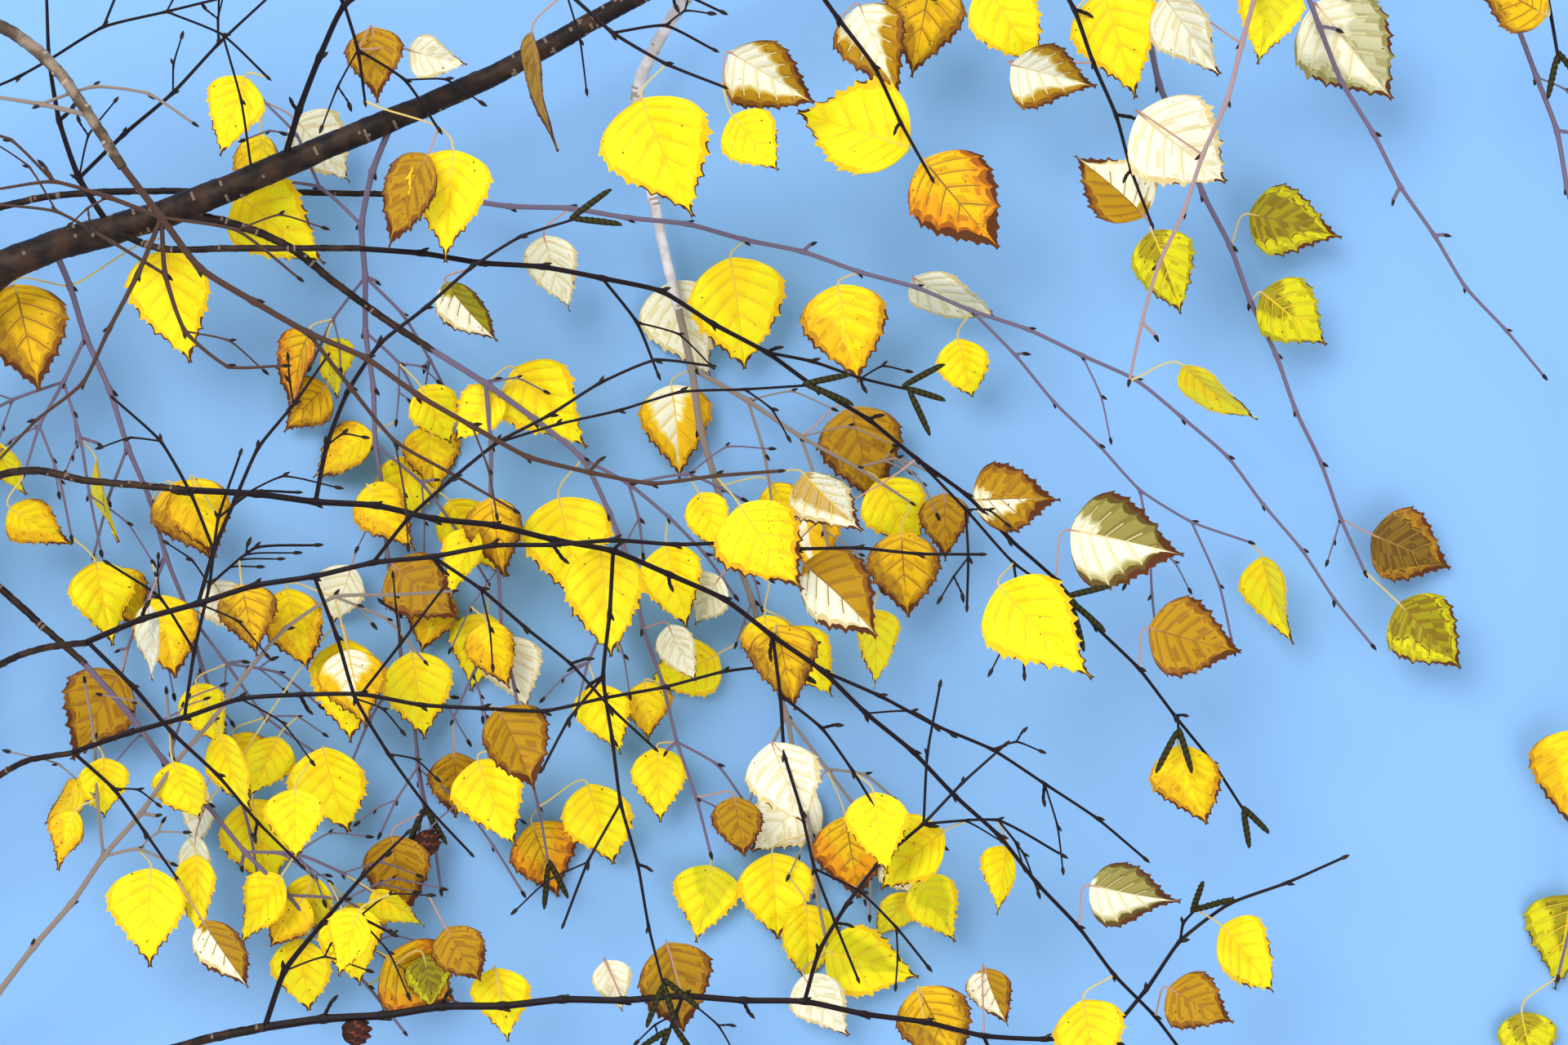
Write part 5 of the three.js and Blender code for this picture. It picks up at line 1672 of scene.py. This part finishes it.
@dataclass
class Limb:
    """A limb of the branch: its plan, its shoot, and the bark that it wears. Sizes are in millimetres."""

    plan: LimbPlan
    shoot: Shoot
    parent: Limb | None
    corner_every: float = 1.7
    ring_every: float = 1.15
    collar: float = 0.55
    root_depth: float = 0.55
    pore_area: float = 70.0
    pore_height: float = 0.16
    wrinkle: float = 0.05
    fine: int = 60

    def path(self) -> tuple[Array, Array]:
        """The middle line at close rings, and its radii, with a collar where it leaves its parent.

        Returns:
            The line, and the radius at each of its points.
        """
        known = self.shoot.radii
        fine = through(self.shoot.points, self.fine)
        radii = np.interp(np.arange(len(fine)) / self.fine, np.arange(len(known)), known)
        reached = along_path(fine)
        thickest = known[0]
        buried = 0.0
        if self.parent and not self.plan.at_tip:
            spot, i = nearest_on([self.parent.shoot], fine[0])
            buried = spot.radii[i]
        start = self.root_depth * buried
        count = round((reached[-1] - start) / min(self.ring_every, 0.35 + 0.35 * thickest))
        targets = start + (reached[-1] - start) * np.arange(count + 1) / count
        path = resampled(fine, reached, targets)
        girth = np.interp(targets, reached, radii)
        if buried:
            away = np.maximum(targets - buried, 0.0)
            girth = girth * (1 + self.collar * np.exp(-away / (1.3 * thickest)))
        return path, girth

    def build(self) -> None:
        """Makes the bark, with soft swellings, wrinkles and raised pores, and the main stem's sawn face."""
        draws = Draws(len(self.plan.name) * 31 + len(self.plan.via))
        skin = Skin(self.plan.name + "_bark")
        path, girth = self.path()
        if self.plan.at_tip:
            backwards = path[0] - unit(path[1] - path[0]) * 2.5
            path, girth = np.vstack([backwards, path]), np.concatenate([[girth[0] * 0.8], girth])
        sides = max(12, round(2 * math.pi * girth.max() / self.corner_every))
        angles = around(sides)[None, :]
        reached = along_path(path)[:, None]
        relief = np.zeros((len(path), sides))
        for turns, length, height in SWELLINGS:
            wave = np.cos(turns * angles + 2 * np.pi * reached / length + draws.within(0, 6))
            relief += girth[:, None] * height * wave
        for turns, length in WRINKLES:
            wave = np.cos(turns * angles + draws.within(0, 6) + 2 * np.pi * reached / length)
            relief += self.wrinkle * wave
        finish = self.plan.finish
        pore = PORE if self.plan.bark is Bark.DARK else PALE_PORE
        if self.plan.bark is Bark.PALE:
            relief *= 1.3
        pores = self.pores(reached[:, 0], girth, sides, draws)
        raised = pores | np.roll(pores, 1, axis=1)
        raised = raised | np.roll(raised, 1, axis=0)
        corners, quads, tris = sweep(path, girth[:, None] + relief + self.pore_height * raised, sides)
        slots = np.where(pores[:-1].ravel(), skin.slot_of(pore), skin.slot_of(finish))
        sawn = self.parent is None
        skin.add(corners, quads, slots, tris[sides:] if sawn else tris, skin.slot_of(finish))
        if sawn:
            self.add_sawn_face(skin, corners[:sides], path[0])
        skin.piece((self.plan.name,), crease=60.0, weld=sawn)

    def pores(self, reached: Array, girth: Array, sides: int, draws: Draws) -> Array:
        """Which faces lie in a pore: short dashes across the limb.

        Args:
            reached: The place of each ring along the limb.
            girth: The radius at each ring.
            sides: Corners of a ring.
            draws: The stream for their places.

        Returns:
            True for each face in a pore, with one row for each ring.
        """
        area = 2 * math.pi * float(girth.mean()) * float(reached[-1])
        angles = 2 * np.pi * (np.arange(sides)[None, :] + 0.5) / sides
        found = np.zeros((len(reached), sides), dtype=bool)
        for _ in range(round(area / self.pore_area)):
            at, turn = draws.within(0, reached[-1]), draws.within(0, 2 * math.pi)
            wide, long = draws.within(0.9, 2.6), draws.within(0.45, 0.75)
            aside = (angles - turn + np.pi) % (2 * np.pi) - np.pi
            found |= ((aside * girth[:, None] / wide) ** 2 + ((reached[:, None] - at) / long) ** 2) < 1
        return found

    def add_sawn_face(self, skin: Skin, rim: Array, middle: Array) -> None:
        """Closes the foot with a rim of bark and a flat sawn face.

        Args:
            skin: The piece that it joins.
            rim: The first ring of the bark.
            middle: The middle of that ring.
        """
        sides = len(rim)
        run = unit(self.shoot.points[1] - self.shoot.points[0])
        flat = rim - np.outer((rim - middle) @ run, run)
        rings = [rim, *(middle + (flat - middle) * share for share in (0.94, 0.9, 0.7, 0.45, 0.2))]
        corners = np.vstack([*rings, middle])
        here, there = ring_faces(len(rings), sides)
        quads = np.stack([here, here + sides, there + sides, there], axis=1)
        wood = replace(SAWN_WOOD, centre=tuple(float(c) for c in middle))
        slots = np.where(np.arange(len(quads)) < sides, skin.slot_of(DARK_BARK), skin.slot_of(wood))
        inner = (len(rings) - 1) * sides
        first, second = ring(sides)
        heart = fan(len(corners) - 1, inner + second, inner + first)
        skin.add(corners, quads, slots, heart, skin.slot_of(wood))


# Sprays


@dataclass
class Spray:
    """A spray of twigs, leaves and catkins that grows from a limb by the seeded rule."""

    plan: SprayPlan
    number: int
    limb: Limb
    room: Room
    cone_length: float = 11.0
    cone_radius: float = 5.6

    def __post_init__(self) -> None:
        """Grows the stem and the led shoots, and takes up their room."""
        plan = self.plan
        self.draws = plan.stream(Stream.RULE)
        self.leaves: list[Leaf] = []
        self.catkins: list[Shoot] = []
        self.fine: list[Shoot] = []
        guides = guides_from(self.limb.shoot, plan.via, plan.at_tip)
        self.shoots = [make_shoot(guides, plan.thick, RULE.bud_step, RULE.zigzag)]
        for root, *via in plan.led:
            spot, i = nearest_on(self.shoots, seen((*root, RULE.focus_height)))
            guides = [spot.points[i].copy(), *(seen(place) for place in via)]
            thick = (spot.radii[i] * 0.8, RULE.side_tip)
            self.shoots.append(rooted(make_shoot(guides, thick, RULE.bud_step, RULE.zigzag)))
        self.mains = list(self.shoots)
        for shoot in self.shoots:
            self.room.claim(self.number, shoot.rods())

    def grow_catkins(self) -> None:
        """Grows the catkins at the tips of the shoots that carry them."""
        for which, count in self.plan.catkins:
            shoot = self.shoots[which]
            tip, run = shoot.points[-1], shoot.run_at(len(shoot.points) - 1)
            for k in range(count):
                root = tip - run * RULE.catkin_apart * (k + 1)
                turn = (k - (count - 1) / 2) * 2 * RULE.catkin_splay + self.draws.within(-10, 10)
                way = turned(run, UP, math.radians(turn))
                length = RULE.catkin_length * self.draws.within(0.85, 1.15)
                middle = root + way * length * 0.5
                end = middle + unit(way + np.array([0.0, -RULE.catkin_droop, 0.0])) * length * 0.5
                points = np.array([root, between(root, middle, 0.3), between(end, middle, 0.3), end])
                radii = np.array([0.2, 0.9, 1.0, 0.4]) * RULE.catkin_radius
                self.catkins.append(Shoot(points, radii))
        for catkin in self.catkins:
            self.room.claim(self.number, catkin.rods())

    def place_leaves(self) -> None:
        """Places the listed leaves."""
        for x, y, direction, length, roll, tint in self.plan.placed:
            for _ in range(RULE.tries):
                spot, i = nearest_on(self.shoots, seen((x, y, RULE.focus_height)))
                node = spot.points[i]
                base = seen((x, y, node[2] + self.draws.within(-9, 7)))
                leaf = make_leaf(node, base, direction, self.draws.within(-0.3, 0.15), length, roll, RULE)
                if self.keeps(leaf, RULE):
                    leaf.tint = tint
                    break

    def keeps(self, leaf: Leaf, rule: Rule) -> bool:
        """Takes up a leaf if its room is free."""
        rods = leaf.rods(rule)
        if not self.room.is_free(self.number, rods, leaf.base, rule):
            return False
        self.room.claim(self.number, rods)
        self.leaves.append(leaf)
        return True

    def hang_leaf(self, shoots: list[Shoot], rule: Rule) -> Leaf:
        """A leaf that hangs from a bud picked by the spray's own draws.

        Args:
            shoots: The shoots to pick from.
            rule: The rule that it grows by.

        Returns:
            The leaf, with no tint yet.
        """
        draws = self.draws
        shoot = shoots[draws.pick(len(shoots))]
        node = shoot.points[1 + draws.pick(len(shoot.points) - 1)]
        direction = rule.hang + draws.within(*rule.swing)
        stalk = draws.within(*rule.stalk)
        base = node + heading(direction, draws.within(*rule.stalk_slope)) * stalk
        aim = between(direction, rule.hang, 0.4) + draws.within(*rule.aim)
        length = draws.within(*rule.blade)
        roll = draws.within(*rule.roll)
        roll *= 1.5 if draws.next() < 0.2 else 1
        return make_leaf(node, base, aim, draws.within(*rule.blade_slope), length, roll, rule)

    def side_twig(self, shoots: list[Shoot], rule: Rule) -> Shoot:
        """A side twig at a bud picked by the spray's own draws: it leaves at an angle and then falls.

        Args:
            shoots: The shoots to pick from.
            rule: The rule that it grows by.

        Returns:
            The twig.
        """
        draws = self.draws
        shoot = shoots[draws.pick(len(shoots))]
        i = 1 + draws.pick(len(shoot.points) - 2)
        run = shoot.run_at(i)
        hand = -1 if draws.next() < 0.5 else 1
        away = turned(run, UP, hand * math.radians(rule.side_angle))
        length = draws.within(*rule.side_twig)
        root = shoot.points[i]
        middle = root + away * length * 0.5
        tip = middle + unit(away + np.array([0.0, -rule.side_fall, -rule.side_sink])) * length * 0.5
        lowest = rule.ground_gap + 2
        middle[2], tip[2] = max(middle[2], lowest), max(tip[2], lowest)
        thick = (min(rule.side_root, shoot.radii[i] * 0.9), rule.side_tip)
        return rooted(make_shoot([root, middle, tip], thick, rule.bud_step, rule.zigzag))

    def keeps_twig(self, twig: Shoot, rule: Rule, kept: list[Shoot]) -> bool:
        """Takes up a side twig among those kept, if its room is free.

        Args:
            twig: The twig.
            rule: The rule that it grows by.
            kept: The list that it joins.

        Returns:
            Whether it was taken up.
        """
        rods = twig.rods()[1:]
        if not self.room.is_free(self.number, rods, twig.points[0], rule):
            return False
        self.room.claim(self.number, rods)
        kept.append(twig)
        return True

    def grow_side_twigs(self) -> None:
        """Grows the side twigs of the rule."""
        for _ in range(self.plan.twigs):
            for _ in range(RULE.tries):
                if self.keeps_twig(self.side_twig(self.mains, RULE), RULE, self.shoots):
                    break

    def hang_leaves(self) -> None:
        """Hangs the rule's own leaves. Their tints come from a stream of their own."""
        tints = self.plan.stream(Stream.TINTS)
        for _ in range(self.plan.leaves):
            for _ in range(RULE.tries):
                leaf = self.hang_leaf(self.shoots, RULE)
                if self.keeps(leaf, RULE):
                    leaf.tint = deal(SUNNY, tints)
                    break

    def grow_finer(self) -> None:
        """Grows the finer twigs and the extra leaves, whose tips stay inside the spray's solid's box."""
        self.draws = self.plan.stream(Stream.FINER)
        low, high = (np.array(corner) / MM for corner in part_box(self.plan.name))
        sources = [shoot for shoot in self.shoots if len(shoot.points) > 2]
        for _ in range(self.plan.fine):
            for _ in range(FINE.tries):
                twig = self.side_twig(sources, FINE)
                tip = twig.points[-1]
                if np.all(tip > low) and np.all(tip < high) and self.keeps_twig(twig, FINE, self.fine):
                    break
        for _ in range(self.plan.extra):
            for _ in range(FINE.tries):
                leaf = self.hang_leaf(self.shoots + self.fine, FINE)
                tip = leaf.base + leaf.axis * leaf.length
                if np.all(tip > low) and np.all(tip < high) and self.keeps(leaf, FINE):
                    leaf.tint = deal(SUNNY, self.draws)
                    break

    def build(self) -> None:
        """Makes the spray's pieces: twigs with buds, and leaves, catkins and cones where it has them."""
        plan = self.plan
        draws = plan.stream(Stream.TWIGS)
        skin = Skin(plan.name + "_twigs")
        self.join_stem()
        for shoot in self.shoots + self.fine:
            TWIG_FORM.add_to(skin, shoot, draws, plan.tone)
        skin.piece((plan.name,))
        if self.leaves:
            skin = Skin(plan.name + "_leaves")
            for k, leaf in enumerate(self.leaves):
                Blade(leaf, plan.stream(Stream.BLADES, k)).add_to(skin)
            skin.piece((plan.name,))
        if self.catkins:
            skin = Skin(plan.name + "_catkins")
            for catkin in self.catkins:
                CATKIN_FORM.add_to(skin, catkin)
            skin.piece((plan.name,), crease=80.0)
        if plan.cones:
            self.build_cones()

    def build_cones(self) -> None:
        """Makes the ripe seed cones, each hung by a short stalk from the nearest bud."""
        skin = Skin(self.plan.name + "_cones")
        for x, y, direction in self.plan.cones:
            spot, i = nearest_on(self.shoots, seen((x, y, RULE.focus_height)))
            bud = spot.points[i]
            base = seen((x, y, bud[2]))
            way = heading(direction, -0.15)
            path = base + np.outer((0.0, 0.33, 0.67, 1.0), way) * self.cone_length
            CONE_FORM.add_to(skin, Shoot(path, np.full(4, self.cone_radius)))
            stalk = through(np.array([bud, between(bud, base, 0.6), base + way * 1.5]), 4)
            add_tube(skin, stalk, np.full(len(stalk), 0.45), 6, TWIG_BARK[self.plan.tone])
        skin.piece((self.plan.name,), crease=80.0)

    def join_stem(self) -> None:
        """Starts the stem a little inside its limb, so that no gap shows where the solids have one."""
        stem, limb = self.shoots[0], self.limb.shoot
        if self.plan.at_tip:
            stem.points[0] = stem.points[0] - limb.run_at(len(limb.points) - 1) * 2.0


def guides_from(parent: Shoot, via: tuple[tuple[float, ...], ...], at_tip: bool) -> list[Array]:
    """The guides of a limb or stem, which starts at its parent's tip or at the point nearest to its first.

    Args:
        parent: The shoot that it grows from.
        via: Its route. The first place only picks where it leaves the side of its parent.
        at_tip: Whether it carries on from its parent's tip.

    Returns:
        The guides, from its root on.
    """
    guides = [seen(place) for place in via]
    if at_tip:
        return [parent.points[-1].copy(), *guides]
    spot, i = nearest_on([parent], guides[0])
    return [spot.points[i].copy(), *guides[1:]]


def make_leaf(
    node: Array, base: Array, direction: float, slope: float, length: float, roll: float, rule: Rule
) -> Leaf:
    """A leaf at the end of its stalk, levelled and raised where it would touch the ground.

    Args:
        node: The bud that it hangs from.
        base: The base of its blade.
        direction: The level direction of its tip in degrees.
        slope: How far the tip rises, as a share of its level run.
        length: The blade's length.
        roll: How far the blade is turned about its own line, in degrees.
        rule: The rule that it grows by.

    Returns:
        The leaf, with no tint yet.
    """
    lowest = rule.ground_gap + rule.lane_radius * length
    base[2] = max(base[2], lowest + rule.curl * length)
    reach = (base[2] - lowest - rule.curl * length) / length
    axis = heading(direction, max(slope, -reach))
    level = unit(np.array([-axis[1], axis[0], 0.0]))
    steepest = min(1.0, (base[2] + min(0.0, axis[2]) * length * 0.5 - rule.ground_gap) / (0.4 * length))
    most = math.asin(steepest)
    side = turned(level, axis, min(max(math.radians(roll), -most), most))
    return Leaf(node, base, axis, side, np.cross(axis, side), length)


def deal(shares: tuple[tuple[Tint, float], ...], draws: Draws) -> Tint:
    """One tint, picked by share.

    Args:
        shares: Each tint with its share.
        draws: The stream that picks.

    Returns:
        The tint.
    """
    left = draws.next() * sum(share for _, share in shares)
    for tint, share in shares:
        left -= share
        if left < 0:
            return tint
    return shares[0][0]


class Branch:
    """The whole branch: its limbs, and the sprays that grow from them."""

    def __init__(self) -> None:
        """Grows everything in the rule's order, so that each leaf lands where its solid is."""
        self.room = Room()
        self.limbs: dict[str, Limb] = {}
        for number, plan in enumerate(LIMBS):
            parent = self.limbs.get(plan.parent) if plan.parent else None
            guides = [seen(place) for place in plan.via]
            if parent:
                guides = guides_from(parent.shoot, plan.via, plan.at_tip)
            limb = Limb(plan, make_shoot(guides, plan.thick, RULE.bough_step, 0.0), parent)
            self.limbs[plan.name] = limb
            self.room.claim(number, limb.shoot.rods())
        numbered = enumerate(SPRAYS, start=len(LIMBS))
        self.sprays = [Spray(plan, number, self.limbs[plan.limb], self.room) for number, plan in numbered]
        rounds = (Spray.grow_catkins, Spray.place_leaves, Spray.grow_side_twigs, Spray.hang_leaves)
        for grow in (*rounds, Spray.grow_finer):
            for spray in self.sprays:
                grow(spray)

    def build(self) -> None:
        """Makes all pieces."""
        for limb in self.limbs.values():
            limb.build()
        for spray in self.sprays:
            spray.build()


# Studio


@dataclass
class Studio:
    """The floor, the light and the camera, which looks straight down. Lengths are in metres."""

    floor_size: float = 8.0
    floor_colour: str = "86B5E7"
    eye: Triple = (0.0321, -0.0038, 1.3)
    lens: float = 68.06
    key_power: float = 42.0
    fill_power: float = 15.0
    sky: float = 0.78

    def build(self) -> None:
        """Sets the floor, the lamps, the sky and the camera."""
        self.lay_floor()
        self.light("key_softbox", (-0.9, 1.0, 2.2), 1.4, self.key_power)
        self.light("fill_softbox", (1.2, -0.9, 1.9), 1.6, self.fill_power)
        self.set_sky()
        self.set_camera()

    def lay_floor(self) -> None:
        """Lays a plain pale floor under the branch."""
        half = self.floor_size / 2
        mesh = bpy.data.meshes.new("floor")
        corners = [(-half, -half, 0), (half, -half, 0), (half, half, 0), (-half, half, 0)]
        mesh.from_pydata(corners, [], [(0, 1, 2, 3)])
        floor = linked("floor", mesh)
        # Seamless studio paper: pale sky blue, matt, with the faintest tooth.
        paper = Finish("studio_paper_matt", self.floor_colour, (0.85, 0.95), 2.0, 0.02)
        mesh.materials.append(paper.material())

    def light(self, name: str, place: Triple, size: float, power: float) -> None:
        """Hangs a softbox that faces the branch.

        Args:
            name: Its name.
            place: Where it hangs, in metres.
            size: Its width in metres.
            power: Its power in watts.
        """
        lamp = bpy.data.lights.new(name, "AREA")
        lamp.shape, lamp.size, lamp.energy = "SQUARE", size, power
        made = linked(name, lamp)
        made.location = place
        x, y, height = place
        made.rotation_euler = (math.atan2(math.hypot(x, y), height), 0.0, math.atan2(y, x) + math.pi / 2)

    def set_sky(self) -> None:
        """Lights the scene evenly from all sides, and shows colours as they are."""
        world = bpy.data.worlds.new("soft_sky")
        bpy.context.scene.world = world
        world.use_nodes = True
        tree = world.node_tree
        tree.nodes.clear()
        glow = add_node(tree, "Background", {"Color": linear("F2F7FF"), "Strength": self.sky})
        add_node(tree, "OutputWorld", {"Surface": glow.outputs["Background"]})
        bpy.context.scene.view_settings.view_transform = "Standard"

    def set_camera(self) -> None:
        """Sets the camera over the branch, where the photograph's would be with the branch on the ground."""
        lens = bpy.data.cameras.new("camera")
        lens.lens, lens.sensor_width = self.lens, 36.0
        camera = linked("camera", lens)
        camera.location = self.eye
        bpy.context.scene.camera = camera


def main() -> None:
    """Builds the branch and the studio, and logs what each spray has grown."""
    logging.basicConfig(level=logging.INFO, format="%(message)s", stream=sys.stdout)
    Studio().build()
    branch = Branch()
    for spray in branch.sprays:
        counts = len(spray.leaves), len(spray.shoots), len(spray.fine)
        LOG.info("%s: %d leaves, %d shoots, %d fine twigs", spray.plan.name, *counts)
    branch.build()


if __name__ == "__main__":
    main()
